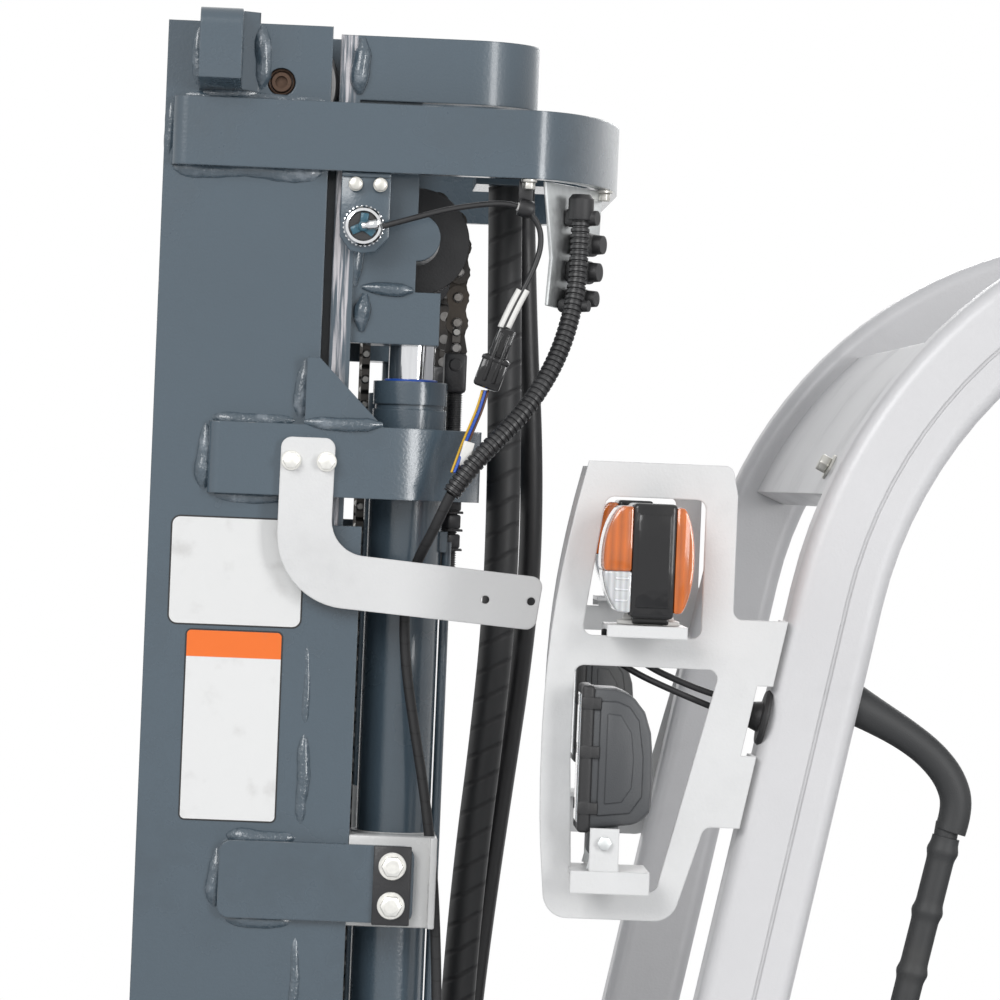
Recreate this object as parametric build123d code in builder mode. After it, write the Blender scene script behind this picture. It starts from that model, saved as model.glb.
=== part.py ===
"""Electric counterbalance forklift with a two-stage mast, as separate pieces.

Millimetres. +X points forward, +Y to the driver's left, +Z up.
The origin lies on the floor, at the middle of the overall length and width.
"""
import os
from math import atan2, cos, degrees, hypot, radians, sin, tan

from build123d import *

os.makedirs("parts", exist_ok=True)

# Overall layout
fork_length = 1070.0
load_distance = 470.0
wheelbase = 1500.0
rear_overhang = 380.0
mast_setback = 140.0
fork_face_x = 640.0
fork_tip_x = fork_face_x + fork_length
front_axle_x = fork_face_x - load_distance
rear_axle_x = front_axle_x - wheelbase
rear_end_x = rear_axle_x - rear_overhang
mast_front_x = fork_face_x - mast_setback

# Fits and plate thicknesses
running_clearance = 0.05
side_gap = 1.0
plate = 15.0

# Wheels and tyres
front_tyre_diameter = 584.0
front_tyre_width = 210.0
front_rim_diameter = 360.0
front_track = 1000.0
rear_tyre_diameter = 457.0
rear_tyre_width = 160.0
rear_rim_diameter = 290.0
rear_track = 990.0
rim_wall = 12.0
tyre_shoulder = 26.0
front_axle_z = front_tyre_diameter / 2
rear_axle_z = rear_tyre_diameter / 2
front_wheel_y = front_track / 2
rear_wheel_y = rear_track / 2
front_tyre_inner_y = front_wheel_y - front_tyre_width / 2

# Drive axle
axle_tube_radius = 70.0
axle_end_y = front_tyre_inner_y - 10.0
spindle_radius = 30.0
gear_case_radius = 125.0
gear_case_half_width = 110.0
motor_radius = 95.0
motor_half_width = 150.0
pump_radius = 70.0

# Steer axle
kingpin_y = 370.0
kingpin_radius = 22.0
knuckle_radius = 42.0
steer_spindle_radius = 28.0
steer_beam_half_width = 48.0
steer_beam_height = 120.0
trunnion_radius = 35.0
trunnion_rise = 80.0
steer_sweep = hypot(rear_tyre_diameter / 2, rear_wheel_y + rear_tyre_width / 2 - kingpin_y)
arch_radius = steer_sweep + 12.0
arch_top_z = rear_tyre_diameter + 62.0

# Chassis, battery bay and counterweight
body_half_width = 575.0
frame_bottom_z = 180.0
floor_z = 515.0
sill_z = 560.0
bay_front_x = front_axle_x - 480.0
bay_rear_x = rear_axle_x + 345.0
side_plate_y = 340.0
side_plate = 20.0
fender_gap = 28.0
fender_sheet = 12.0
fender_wall = 9.0
fender_inner_y = 391.0
counterweight_top_z = 880.0
counterweight_corner = 170.0
hood_top_z = 900.0
hood_sheet = 15.0
hood_lip_z = 702.0
hood_gap = 2.0
hinge_z = hood_top_z + 5.0
hinge_barrel_radius = 14.0
hinge_pin_radius = 8.0

# Overhead guard
guard_y = 470.0
guard_tube_width = 60.0
guard_tube_depth = 75.0
guard_rake = 11.0
guard_knee_z = 1684.0
guard_knee_x = -77.0
guard_bend = 400.0
groove_offset = 7.0
groove_width = 3.0
groove_depth = 1.6
guard_rear_bend = 200.0
guard_foot_z = 640.0
guard_rear_top_x = -1180.0
guard_rear_foot_x = -1290.0
roof_bar_count = 8
roof_bar_width = 30.0
roof_bar_height = 40.0

# Outer mast
mast_width = 730.0
mast_top_z = 2150.0
mast_bottom_z = 90.0
channel_depth = 140.0
channel_flange = 60.0
channel_web = 14.0
flange_thickness = 18.0
tie_thickness = 16.0
top_tie_z = 2027.0
top_tie_height = 58.0
top_tie_reach = 397.0
top_tie_corner = (87.0, 215.0)
mid_tie_z = 1750.0
mid_tie_height = 61.0
mid_tie_reach = 282.0
low_tie_z = 424.0
low_tie_height = 76.0
base_plate = 40.0
hanger_plate = 14.0
hanger_radius = 105.0
lug_setback = (64.0, 28.0)
lug_depth = 45.0
lug_bottom_z = 2091.0
lug_top_z = 2159.0
lug_hole_z = 2122.0
lug_hole_radius = 12.0

# Inner mast, lift cylinders and chains
inner_web = 14.0
inner_offset = 30.0
inner_depth = 135.0
inner_bottom_z = 160.0
inner_top_z = 2145.0
inner_tie_height = 55.0
inner_tie_reach = 154.0
inner_tie_corner = 60.0
cylinder_setback = 218.5
cylinder_y = 300.0
barrel_radius = 32.0
barrel_wall = 5.0
barrel_top_z = 1852.0
gland_height = 46.0
rod_radius = 20.0
rod_block_z = 1883.0
rod_block_height = 45.0
sheave_y = 250.0
sheave_z = 1975.0
sheave_radius = 47.0
sheave_width = 24.0
chain_thickness = 12.0
chain_pitch_radius = 39.0
chain_width = 22.0
chain_anchor_z = 1880.0

# Carriage and forks
fork_width = 122.0
fork_thickness = 40.0
fork_tip_thickness = 14.0
fork_clearance_z = 12.0
fork_spacing = 500.0
carriage_width = 1040.0
carriage_bar = 30.0
carriage_bar_height = 90.0
lower_bar_z = 150.0
upper_bar_z = 480.0
carriage_plate_y = 215.0
carriage_plate = 20.0
backrest_top_z = 1200.0
backrest_bar = 26.0
backrest_bar_count = 7

# Tilt cylinders
tilt_y = 200.0
tilt_pivot_x = -240.0
tilt_pivot_z = 400.0
tilt_pin_x = 180.0
tilt_pin_z = 470.0
tilt_pin_radius = 12.0
tilt_eye_slack = 2.5
tilt_barrel_radius = 28.0
tilt_rod_radius = 17.0
tilt_eye_radius = 24.0
tilt_eye_width = 40.0


def keep(builder, name):
    """Label a finished sub-part and write its STEP file."""
    builder.part.label = name
    export_step(builder.part, f"parts/{name}.step")


def block(x_span, y_span, z_span, mode=Mode.ADD):
    """Add a box that fills three spans, each given as two limits."""
    spans = (x_span, y_span, z_span)
    middle = [(span[0] + span[1]) / 2 for span in spans]
    size = [abs(span[1] - span[0]) for span in spans]
    with Locations(tuple(middle)):
        Box(*size, mode=mode)


def rod_y(x, z, radius, y_span, mode=Mode.ADD):
    """Add a round bar along Y between two limits."""
    with Locations((x, (y_span[0] + y_span[1]) / 2, z)):
        Cylinder(radius, abs(y_span[1] - y_span[0]), rotation=(90, 0, 0), mode=mode)


def rod_z(x, y, radius, z_span, mode=Mode.ADD):
    """Add a round bar along Z between two limits."""
    with Locations((x, y, (z_span[0] + z_span[1]) / 2)):
        Cylinder(radius, abs(z_span[1] - z_span[0]), mode=mode)


def rod_x(y, z, radius, x_span, mode=Mode.ADD):
    """Add a round bar along X between two limits."""
    with Locations(((x_span[0] + x_span[1]) / 2, y, z)):
        Cylinder(radius, abs(x_span[1] - x_span[0]), rotation=(0, 90, 0), mode=mode)


def side_prism(points, y_span, mode=Mode.ADD):
    """Add a plate whose outline is drawn in side view, as (x, z) points."""
    low, high = min(y_span), max(y_span)
    with BuildSketch(Plane.XZ.offset(-high)) as outline:
        with BuildLine():
            Polyline(*points, close=True)
        make_face()
    extrude(outline.sketch, amount=high - low, mode=mode)


def spin_plane(x, y, z):
    """Give the half-plane of a wheel's section: local x runs along Y, local y outwards."""
    return Plane(origin=(x, y, z), x_dir=(0, 1, 0), z_dir=(1, 0, 0))


def band(u_span, r_span):
    """Draw one rectangle of a turned section."""
    with Locations(((u_span[0] + u_span[1]) / 2, (r_span[0] + r_span[1]) / 2)):
        Rectangle(abs(u_span[1] - u_span[0]), r_span[1] - r_span[0])


# Front wheels
for side, sign in (("left", 1), ("right", -1)):
    wheel_axis = Axis((front_axle_x, 0, front_axle_z), (0, 1, 0))
    rim_radius = front_rim_diameter / 2
    rim_half = front_tyre_width / 2 - 10
    with BuildPart() as front_tyre:
        with BuildSketch(spin_plane(front_axle_x, sign * front_wheel_y, front_axle_z)) as tyre_section:
            half = front_tyre_width / 2
            band((-half, half), (rim_radius, front_tyre_diameter / 2))
            fillet(tyre_section.vertices().group_by(Axis.Z)[-1], tyre_shoulder)
        revolve(axis=wheel_axis)
    keep(front_tyre, f"front_tyre_{side}")

    with BuildPart() as front_wheel:
        with BuildSketch(spin_plane(front_axle_x, sign * front_wheel_y, front_axle_z)):
            bore = spindle_radius + running_clearance
            band((-rim_half, rim_half), (rim_radius - rim_wall, rim_radius))
            band((-sign * 45, -sign * 25), (70, rim_radius - rim_wall))
            band((-sign * 60, sign * 10), (bore, 70))
        revolve(axis=wheel_axis)
    keep(front_wheel, f"front_wheel_{side}")

# Rear wheels
for side, sign in (("left", 1), ("right", -1)):
    wheel_axis = Axis((rear_axle_x, 0, rear_axle_z), (0, 1, 0))
    rim_radius = rear_rim_diameter / 2
    rim_half = rear_tyre_width / 2 - 8
    with BuildPart() as rear_tyre:
        with BuildSketch(spin_plane(rear_axle_x, sign * rear_wheel_y, rear_axle_z)) as tyre_section:
            half = rear_tyre_width / 2
            band((-half, half), (rim_radius, rear_tyre_diameter / 2))
            fillet(tyre_section.vertices().group_by(Axis.Z)[-1], tyre_shoulder)
        revolve(axis=wheel_axis)
    keep(rear_tyre, f"rear_tyre_{side}")

    with BuildPart() as rear_wheel:
        with BuildSketch(spin_plane(rear_axle_x, sign * rear_wheel_y, rear_axle_z)):
            bore = steer_spindle_radius + running_clearance
            band((-rim_half, rim_half), (rim_radius - rim_wall, rim_radius))
            band((-sign * 20, -sign * 2), (60, rim_radius - rim_wall))
            band((-sign * 30, sign * 30), (bore, 60))
        revolve(axis=wheel_axis)
    keep(rear_wheel, f"rear_wheel_{side}")

# Drive axle with its gear case, and the traction motor behind it
with BuildPart() as drive_axle:
    rod_y(front_axle_x, front_axle_z, axle_tube_radius, (-axle_end_y, axle_end_y))
    rod_y(front_axle_x, front_axle_z, gear_case_radius, (-gear_case_half_width, gear_case_half_width))
    spindle_end_y = front_wheel_y + 5
    rod_y(front_axle_x, front_axle_z, spindle_radius, (-spindle_end_y, spindle_end_y))
keep(drive_axle, "drive_axle")

motor_x = front_axle_x - gear_case_radius - motor_radius
with BuildPart() as traction_motor:
    rod_y(motor_x, front_axle_z, motor_radius, (-motor_half_width, motor_half_width))
    block((motor_x, front_axle_x - gear_case_radius + 1), (-60, 60), (front_axle_z - 40, front_axle_z + 40))
    rod_y(front_axle_x, front_axle_z, gear_case_radius, (-gear_case_half_width, gear_case_half_width),
          mode=Mode.SUBTRACT)
keep(traction_motor, "traction_motor")

pump_x = bay_front_x + plate + pump_radius + 5
pump_z = frame_bottom_z + plate + pump_radius
with BuildPart() as pump_unit:
    rod_y(pump_x, pump_z, pump_radius, (-130, 130))
    block((pump_x - 45, pump_x + 45), (-100, 100), (frame_bottom_z + plate, pump_z))
keep(pump_unit, "pump_unit")

# Steer axle, hung on a fore-and-aft trunnion so that it can rock
beam_z = (rear_axle_z - steer_beam_height / 2, rear_axle_z + steer_beam_height / 2)
trunnion_z = rear_axle_z + trunnion_rise
trunnion_half = arch_channel_half = 115.0
ear_height = 38.0
with BuildPart() as steer_axle:
    beam_half_width = (rear_axle_x - steer_beam_half_width, rear_axle_x + steer_beam_half_width)
    block(beam_half_width, (-kingpin_y + knuckle_radius, kingpin_y - knuckle_radius), beam_z)
    rod_x(0, trunnion_z, trunnion_radius,
          (rear_axle_x - trunnion_half - 40, rear_axle_x + trunnion_half + 40))
    block(beam_half_width, (-70, 70), (rear_axle_z, trunnion_z))
    for sign in (1, -1):
        for ear_z in ((beam_z[0] - ear_height, beam_z[0]), (beam_z[1], beam_z[1] + ear_height)):
            rod_z(rear_axle_x, sign * kingpin_y, knuckle_radius, ear_z)
            block((rear_axle_x - knuckle_radius + 4, rear_axle_x + knuckle_radius - 4),
                  (sign * (kingpin_y - 110), sign * kingpin_y), ear_z)
        rod_z(rear_axle_x, sign * kingpin_y, kingpin_radius + running_clearance,
              (beam_z[0] - ear_height, beam_z[1] + ear_height), mode=Mode.SUBTRACT)
        rod_z(rear_axle_x, sign * kingpin_y, knuckle_radius + side_gap, beam_z, mode=Mode.SUBTRACT)
keep(steer_axle, "steer_axle")

for side, sign in (("left", 1), ("right", -1)):
    with BuildPart() as steer_knuckle:
        rod_z(rear_axle_x, sign * kingpin_y, knuckle_radius, (beam_z[0] + side_gap, beam_z[1] - side_gap))
        rod_z(rear_axle_x, sign * kingpin_y, kingpin_radius,
              (beam_z[0] - ear_height, beam_z[1] + ear_height))
        rod_y(rear_axle_x, rear_axle_z, steer_spindle_radius, (sign * kingpin_y, sign * (rear_wheel_y + 25)))
    keep(steer_knuckle, f"steer_knuckle_{side}")

# Chassis: battery bay, floor, side plates, steps, front fenders and tilt pivots
tilt_lug = 12.0
tilt_lug_inner = tilt_eye_width / 2 + side_gap
pedal_pivot_x = -40.0
pedal_pivot_z = floor_z + 16.0
pedal_pin_radius = 5.0
pedal_barrel_radius = 10.0
pedal_width = 80.0
accelerator_y = -220.0
brake_y = -105.0
fender_radius = front_tyre_diameter / 2 + fender_gap
fender_outer_y = front_wheel_y + front_tyre_width / 2
fender_back_x = front_axle_x - fender_radius - fender_sheet
step_z = 395.0
foot_pad = 140.0
guard_slope = tan(radians(guard_rake))
guard_foot_x = guard_knee_x + (guard_knee_z - guard_foot_z) * guard_slope
with BuildPart() as chassis_frame:
    bay_x = (bay_rear_x, bay_front_x)
    block(bay_x, (-body_half_width, body_half_width), (frame_bottom_z, frame_bottom_z + plate))
    block((bay_front_x, bay_front_x + plate), (-body_half_width, body_half_width),
          (frame_bottom_z, floor_z - plate))
    panel_y = body_half_width - hood_sheet - hood_gap
    block((bay_front_x, bay_front_x + plate), (-panel_y, panel_y), (floor_z - plate, hood_lip_z - hood_gap))
    nose_x = front_axle_x - axle_tube_radius
    block((bay_front_x, front_axle_x - gear_case_radius - plate), (-side_plate_y, side_plate_y),
          (frame_bottom_z, frame_bottom_z + plate))
    block((bay_front_x, nose_x), (-fender_inner_y, fender_inner_y), (floor_z - plate, floor_z))
    for sign in (1, -1):
        side_y = (sign * side_plate_y, sign * (side_plate_y + side_plate))
        block(bay_x, (sign * (body_half_width - plate), sign * body_half_width), (frame_bottom_z, sill_z))
        block((bay_front_x, nose_x), side_y, (frame_bottom_z, floor_z - plate))
        rod_y(front_axle_x, front_axle_z, axle_tube_radius + side_plate, side_y)
        step_y = (sign * (side_plate_y + side_plate), sign * body_half_width)
        block((bay_front_x, fender_back_x), step_y, (step_z - plate, step_z))
        block((bay_front_x, fender_back_x), (sign * (body_half_width - plate), sign * body_half_width),
              (frame_bottom_z, step_z))
        fender_y = (sign * (fender_inner_y - fender_wall), sign * fender_outer_y)
        with BuildSketch(Plane.XZ.offset(-max(fender_y))):
            with Locations((front_axle_x, front_axle_z)):
                Circle(fender_radius + fender_sheet)
                Circle(fender_radius, mode=Mode.SUBTRACT)
            with Locations((front_axle_x, front_axle_z - fender_radius)):
                Rectangle(4 * fender_radius, 2 * fender_radius + 60, mode=Mode.SUBTRACT)
            with Locations((front_axle_x + 2 * fender_radius, front_axle_z)):
                Rectangle(2.4 * fender_radius, 4 * fender_radius, mode=Mode.SUBTRACT)
        extrude(amount=abs(fender_y[1] - fender_y[0]))
        with BuildSketch(Plane.XZ.offset(-max(fender_y[0], sign * fender_inner_y))):
            with Locations((front_axle_x, front_axle_z)):
                Circle(fender_radius + fender_sheet / 2)
            with Locations((front_axle_x, floor_z - plate - 2 * fender_radius)):
                Rectangle(4 * fender_radius, 4 * fender_radius, mode=Mode.SUBTRACT)
            with Locations((nose_x + 2 * fender_radius, front_axle_z)):
                Rectangle(4 * fender_radius, 4 * fender_radius, mode=Mode.SUBTRACT)
        extrude(amount=fender_wall)
        block((guard_foot_x - foot_pad / 2, guard_foot_x + foot_pad / 2),
              (sign * (guard_y - guard_tube_width / 2 - 6), sign * (guard_y + guard_tube_width / 2 + 6)),
              (front_axle_z + fender_radius - 18, guard_foot_z))
        rod_y(front_axle_x, front_axle_z, fender_radius, (sign * (fender_inner_y + 1), sign * fender_outer_y),
              mode=Mode.SUBTRACT)
        for lug_side in (1, -1):
            lug_y = sign * tilt_y + lug_side * tilt_lug_inner
            block((tilt_pivot_x - 24, tilt_pivot_x + 24), (lug_y, lug_y + lug_side * tilt_lug),
                  (tilt_pivot_z - 24, floor_z - plate))
        rod_y(tilt_pivot_x, tilt_pivot_z, tilt_pin_radius,
              (sign * tilt_y - tilt_lug_inner, sign * tilt_y + tilt_lug_inner))
    for pedal_y in (accelerator_y, brake_y):
        for ear_side in (1, -1):
            ear_y = pedal_y + ear_side * (pedal_width / 2 + side_gap)
            block((pedal_pivot_x - 10, pedal_pivot_x + 10), (ear_y, ear_y + ear_side * 6),
                  (floor_z, pedal_pivot_z + 10))
        rod_y(pedal_pivot_x, pedal_pivot_z, pedal_pin_radius,
              (pedal_y - pedal_width / 2 - side_gap, pedal_y + pedal_width / 2 + side_gap))
    rod_y(front_axle_x, front_axle_z, axle_tube_radius, (-axle_end_y, axle_end_y), mode=Mode.SUBTRACT)
keep(chassis_frame, "chassis_frame")

# Counterweight casting, with wheel arches, tow slot and the hood's hinge lugs
tow_x = rear_end_x + 60.0
tow_slot_z = 390.0
tow_slot_height = 80.0
tow_pin_radius = 16.0
hood_lug = 12.0
hinge_y = (250.0, 330.0)
cast_round = 40.0
with BuildPart() as counterweight:
    with BuildSketch(Plane.XY.offset(frame_bottom_z)) as plan:
        with Locations(((rear_end_x + bay_rear_x) / 2, 0)):
            Rectangle(bay_rear_x - rear_end_x, 2 * body_half_width)
        fillet(plan.vertices().group_by(Axis.X)[0], counterweight_corner)
    extrude(amount=counterweight_top_z - frame_bottom_z)
    top_edges = counterweight.faces().sort_by(Axis.Z)[-1].edges()
    fillet(top_edges.filter_by(lambda edge: edge.center().X < bay_rear_x - 1), cast_round)
    block((rear_axle_x - arch_channel_half, rear_axle_x + arch_channel_half),
          (-body_half_width, body_half_width), (0, trunnion_z + 95), mode=Mode.SUBTRACT)
    for sign in (1, -1):
        rod_z(rear_axle_x, sign * kingpin_y, arch_radius, (0, arch_top_z), mode=Mode.SUBTRACT)
        block((rear_axle_x - arch_radius, rear_axle_x + arch_radius),
              (sign * kingpin_y, sign * (body_half_width + 1)), (0, arch_top_z), mode=Mode.SUBTRACT)
    rod_x(0, trunnion_z, trunnion_radius + running_clearance,
          (rear_axle_x - arch_channel_half - 42, rear_axle_x + arch_channel_half + 42), mode=Mode.SUBTRACT)
    block((rear_end_x, rear_end_x + 110), (-70, 70),
          (tow_slot_z - tow_slot_height / 2, tow_slot_z + tow_slot_height / 2), mode=Mode.SUBTRACT)
    rod_z(tow_x, 0, tow_pin_radius + running_clearance, (tow_slot_z - 120, counterweight_top_z),
          mode=Mode.SUBTRACT)
    for sign in (1, -1):
        for lug_y in ((hinge_y[0] - side_gap - hood_lug, hinge_y[0] - side_gap),
                      (hinge_y[1] + side_gap, hinge_y[1] + side_gap + hood_lug)):
            lug_span = (sign * lug_y[0], sign * lug_y[1])
            block((bay_rear_x - 28, bay_rear_x), lug_span, (counterweight_top_z - 60, hinge_z))
            rod_y(bay_rear_x - 14, hinge_z, hinge_barrel_radius, lug_span)
        rod_y(bay_rear_x - 14, hinge_z, hinge_pin_radius,
              (sign * (hinge_y[0] - side_gap), sign * (hinge_y[1] + side_gap)))
keep(counterweight, "counterweight")

tow_head = 30.0
with BuildPart() as tow_pin:
    rod_z(tow_x, 0, tow_pin_radius, (tow_slot_z - 110, counterweight_top_z + 2))
    rod_z(tow_x, 0, tow_pin_radius * 1.6, (counterweight_top_z + 2, counterweight_top_z + tow_head))
    with Locations((tow_x, 0, counterweight_top_z + tow_head + 18)):
        Torus(24, 6, rotation=(90, 0, 0))
keep(tow_pin, "tow_pin")

# Traction battery in its steel tray
battery_gap = 15.0
battery_top_z = 838.0
battery_wall = 8.0
with BuildPart() as battery:
    battery_x = (bay_rear_x + battery_gap, bay_front_x - battery_gap)
    battery_y = body_half_width - plate - battery_gap
    battery_z = (frame_bottom_z + plate, battery_top_z)
    block(battery_x, (-battery_y, battery_y), battery_z)
    block((battery_x[0] + battery_wall, battery_x[1] - battery_wall),
          (-battery_y + battery_wall, battery_y - battery_wall), (battery_top_z - 30, battery_top_z),
          mode=Mode.SUBTRACT)
    cell_pitch = (2 * battery_y - 2 * battery_wall) / 6
    with Locations(((battery_x[0] + battery_x[1]) / 2, 0, battery_top_z - 20)):
        with GridLocations(140, cell_pitch, 4, 6):
            Box(126, cell_pitch - 14, 20)
keep(battery, "battery")

# Hood over the battery, carrying the seat, hinged at its rear edge
with BuildPart() as battery_hood:
    hood_x = (bay_rear_x + 20, bay_front_x + hood_sheet)
    block(hood_x, (-body_half_width, body_half_width), (hood_top_z - hood_sheet, hood_top_z))
    block((bay_front_x, bay_front_x + hood_sheet), (-body_half_width, body_half_width),
          (hood_lip_z, hood_top_z))
    for sign in (1, -1):
        block(hood_x, (sign * (body_half_width - hood_sheet), sign * body_half_width),
              (sill_z + hood_gap, hood_top_z))
        barrel_y = (sign * hinge_y[0], sign * hinge_y[1])
        rod_y(bay_rear_x - 14, hinge_z, hinge_barrel_radius, barrel_y)
        block((bay_rear_x - 14, bay_rear_x + 30), barrel_y, (hood_top_z, hinge_z + hinge_barrel_radius))
        rod_y(bay_rear_x - 14, hinge_z, hinge_pin_radius + running_clearance, barrel_y, mode=Mode.SUBTRACT)
keep(battery_hood, "battery_hood")

# Driver's seat: sliding frame with its back shell, and two cushions
seat_front_x = bay_front_x - 110.0
seat_rear_x = seat_front_x - 470.0
seat_half_width = 210.0
cushion_half_width = 235.0
seat_base_z = hood_top_z + 0.5
seat_pan_z = hood_top_z + 45.0
seat_back_top_z = 1420.0
seat_back_lean = 85.0
cushion_height = 105.0
back_cushion_depth = 95.0
shell_thickness = 25.0
with BuildPart() as seat_frame:
    side_prism([(seat_front_x, seat_base_z), (seat_front_x, seat_pan_z), (seat_rear_x, seat_pan_z),
                (seat_rear_x - seat_back_lean, seat_back_top_z),
                (seat_rear_x - seat_back_lean - shell_thickness, seat_back_top_z),
                (seat_rear_x - shell_thickness, seat_base_z)], (-seat_half_width, seat_half_width))
keep(seat_frame, "seat_frame")

with BuildPart() as seat_cushion:
    block((seat_rear_x + 5, seat_front_x + 20), (-cushion_half_width, cushion_half_width),
          (seat_pan_z + 1, seat_pan_z + cushion_height))
    fillet(seat_cushion.edges().filter_by(Axis.Z), 45)
keep(seat_cushion, "seat_cushion")

back_low_z = seat_pan_z + cushion_height + 4
back_shift = seat_back_lean / (seat_back_top_z - seat_pan_z)
back_low_x = seat_rear_x - (back_low_z - seat_pan_z) * back_shift + 2
back_high_x = seat_rear_x - seat_back_lean + 2
with BuildPart() as seat_back_cushion:
    side_prism([(back_low_x, back_low_z), (back_low_x + back_cushion_depth, back_low_z),
                (back_high_x + back_cushion_depth * 0.7, seat_back_top_z), (back_high_x, seat_back_top_z)],
               (-cushion_half_width, cushion_half_width))
keep(seat_back_cushion, "seat_back_cushion")

# Front cowl with its dash shelf, lever housing and stop-switch base
cowl_x = 140.0
cowl_sheet = 18.0
cowl_inset = 5.0
cowl_half_width = 365.0
dash_front_z = 930.0
dash_top_z = 1030.0
dash_rear_z = 1010.0
dash_rear_x = -20.0
dash_ridge_x = 40.0
cowl_top_x = 60.0
lever_x = 8.0
lever_pivot_z = 1064.0
lever_barrel_radius = 9.0
lift_lever_y = -200.0
tilt_lever_y = -260.0
stop_x = 8.0
stop_y = 220.0
stop_base_z = 1052.0
with BuildPart() as front_cowl:
    cowl_base_z = floor_z + 1
    side_prism([(cowl_x, cowl_base_z), (cowl_top_x, dash_front_z), (dash_ridge_x, dash_top_z),
                (dash_rear_x, dash_rear_z), (dash_rear_x, dash_rear_z - cowl_sheet),
                (dash_ridge_x - cowl_sheet, dash_top_z - cowl_sheet - 4),
                (cowl_top_x - cowl_sheet, dash_front_z - 6), (cowl_x - cowl_sheet, cowl_base_z)],
               (-cowl_half_width, cowl_half_width))
    for sign in (1, -1):
        side_prism([(cowl_x - cowl_inset, cowl_base_z), (cowl_top_x - cowl_inset, dash_front_z),
                    (dash_ridge_x - cowl_inset, dash_top_z - cowl_inset),
                    (dash_rear_x, dash_rear_z - cowl_inset), (dash_rear_x + 50, cowl_base_z)],
                   (sign * (cowl_half_width - cowl_sheet), sign * cowl_half_width))
    block((lever_x - 35, lever_x + 35), (tilt_lever_y - 40, lift_lever_y + 40),
          (dash_rear_z, lever_pivot_z - lever_barrel_radius - 2))
    for lever_y in (lift_lever_y, tilt_lever_y):
        for ear_side in (1, -1):
            ear_y = lever_y + ear_side * (12 + side_gap)
            block((lever_x - 12, lever_x + 12), (ear_y, ear_y + ear_side * 6),
                  (dash_rear_z, lever_pivot_z + 8))
        rod_y(lever_x, lever_pivot_z, 4, (lever_y - 12 - side_gap, lever_y + 12 + side_gap))
    rod_z(stop_x, stop_y, 26, (dash_rear_z, stop_base_z))
    rod_z(stop_x, stop_y, 8 + running_clearance, (stop_base_z - 20, stop_base_z), mode=Mode.SUBTRACT)
keep(front_cowl, "front_cowl")

for name, lever_y in (("lift_lever", lift_lever_y), ("tilt_lever", tilt_lever_y)):
    with BuildPart() as lever:
        rod_y(lever_x, lever_pivot_z, lever_barrel_radius, (lever_y - 12, lever_y + 12))
        rod_z(lever_x, lever_y, 6, (lever_pivot_z, lever_pivot_z + 125))
        with Locations((lever_x, lever_y, lever_pivot_z + 135)):
            Sphere(18)
        rod_y(lever_x, lever_pivot_z, 4 + running_clearance, (lever_y - 12, lever_y + 12),
              mode=Mode.SUBTRACT)
    keep(lever, name)

stop_travel = 6.0
with BuildPart() as emergency_stop:
    rod_z(stop_x, stop_y, 8, (stop_base_z - 12, stop_base_z + 8))
    rod_z(stop_x, stop_y, 20, (stop_base_z + stop_travel + 1, stop_base_z + 24))
keep(emergency_stop, "emergency_stop")

# Steering column, wheel, horn button and direction lever, along one leaning axis
column_lean = 20.0
wheel_centre_x = -120.0
wheel_centre_z = 1150.0
column_length = 545.0
column_radius = 28.0
wheel_radius = 165.0
wheel_rim_radius = 13.0
lever_place = 430.0
column_plane = Plane(
    origin=(wheel_centre_x + column_length * sin(radians(column_lean)), 0,
            wheel_centre_z - column_length * cos(radians(column_lean))),
    x_dir=(cos(radians(column_lean)), 0, sin(radians(column_lean))),
    z_dir=(-sin(radians(column_lean)), 0, cos(radians(column_lean))))
stub_length = 30.0
with BuildPart() as steering_column:
    with BuildSketch(column_plane):
        Circle(column_radius)
    extrude(amount=column_length - stub_length)
    with BuildSketch(column_plane.offset(column_length - stub_length)):
        Circle(12)
    extrude(amount=stub_length)
    block((column_plane.origin.X - 26, column_plane.origin.X + 26), (-40, 40),
          (floor_z, column_plane.origin.Z + 10))
keep(steering_column, "steering_column")

hub_height = 26.0
with BuildPart() as steering_wheel:
    with BuildSketch(column_plane.offset(column_length - hub_height)):
        Circle(34)
        Circle(12 + running_clearance, mode=Mode.SUBTRACT)
    extrude(amount=hub_height)
    with BuildSketch(column_plane.offset(column_length)):
        Circle(34)
        Circle(20 + running_clearance, mode=Mode.SUBTRACT)
    extrude(amount=14)
    with Locations(column_plane.offset(column_length)):
        Torus(wheel_radius, wheel_rim_radius)
    with BuildSketch(column_plane.offset(column_length - 8)):
        with PolarLocations((34 + wheel_radius) / 2 - 4, 3, start_angle=30):
            Rectangle(wheel_radius - 34 + 4, 26)
    extrude(amount=10)
    with BuildSketch(column_plane.offset(column_length)):
        with Locations((0, wheel_radius)):
            Circle(9)
    extrude(amount=50)
    with Locations(column_plane.offset(column_length + 55)):
        with Locations((0, wheel_radius, 0)):
            Sphere(22)
keep(steering_wheel, "steering_wheel")

horn_travel = 3.0
with BuildPart() as horn_button:
    with BuildSketch(column_plane.offset(column_length + horn_travel + 1)):
        Circle(20)
    extrude(amount=18)
keep(horn_button, "horn_button")

with BuildPart() as direction_lever:
    with BuildSketch(column_plane.offset(lever_place)):
        with Locations((0, column_radius + 75)):
            Rectangle(12, 150 - 1)
    extrude(amount=12)
    with Locations(column_plane.offset(lever_place + 6)):
        with Locations((0, column_radius + 160, 0)):
            Sphere(16)
keep(direction_lever, "direction_lever")

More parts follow.
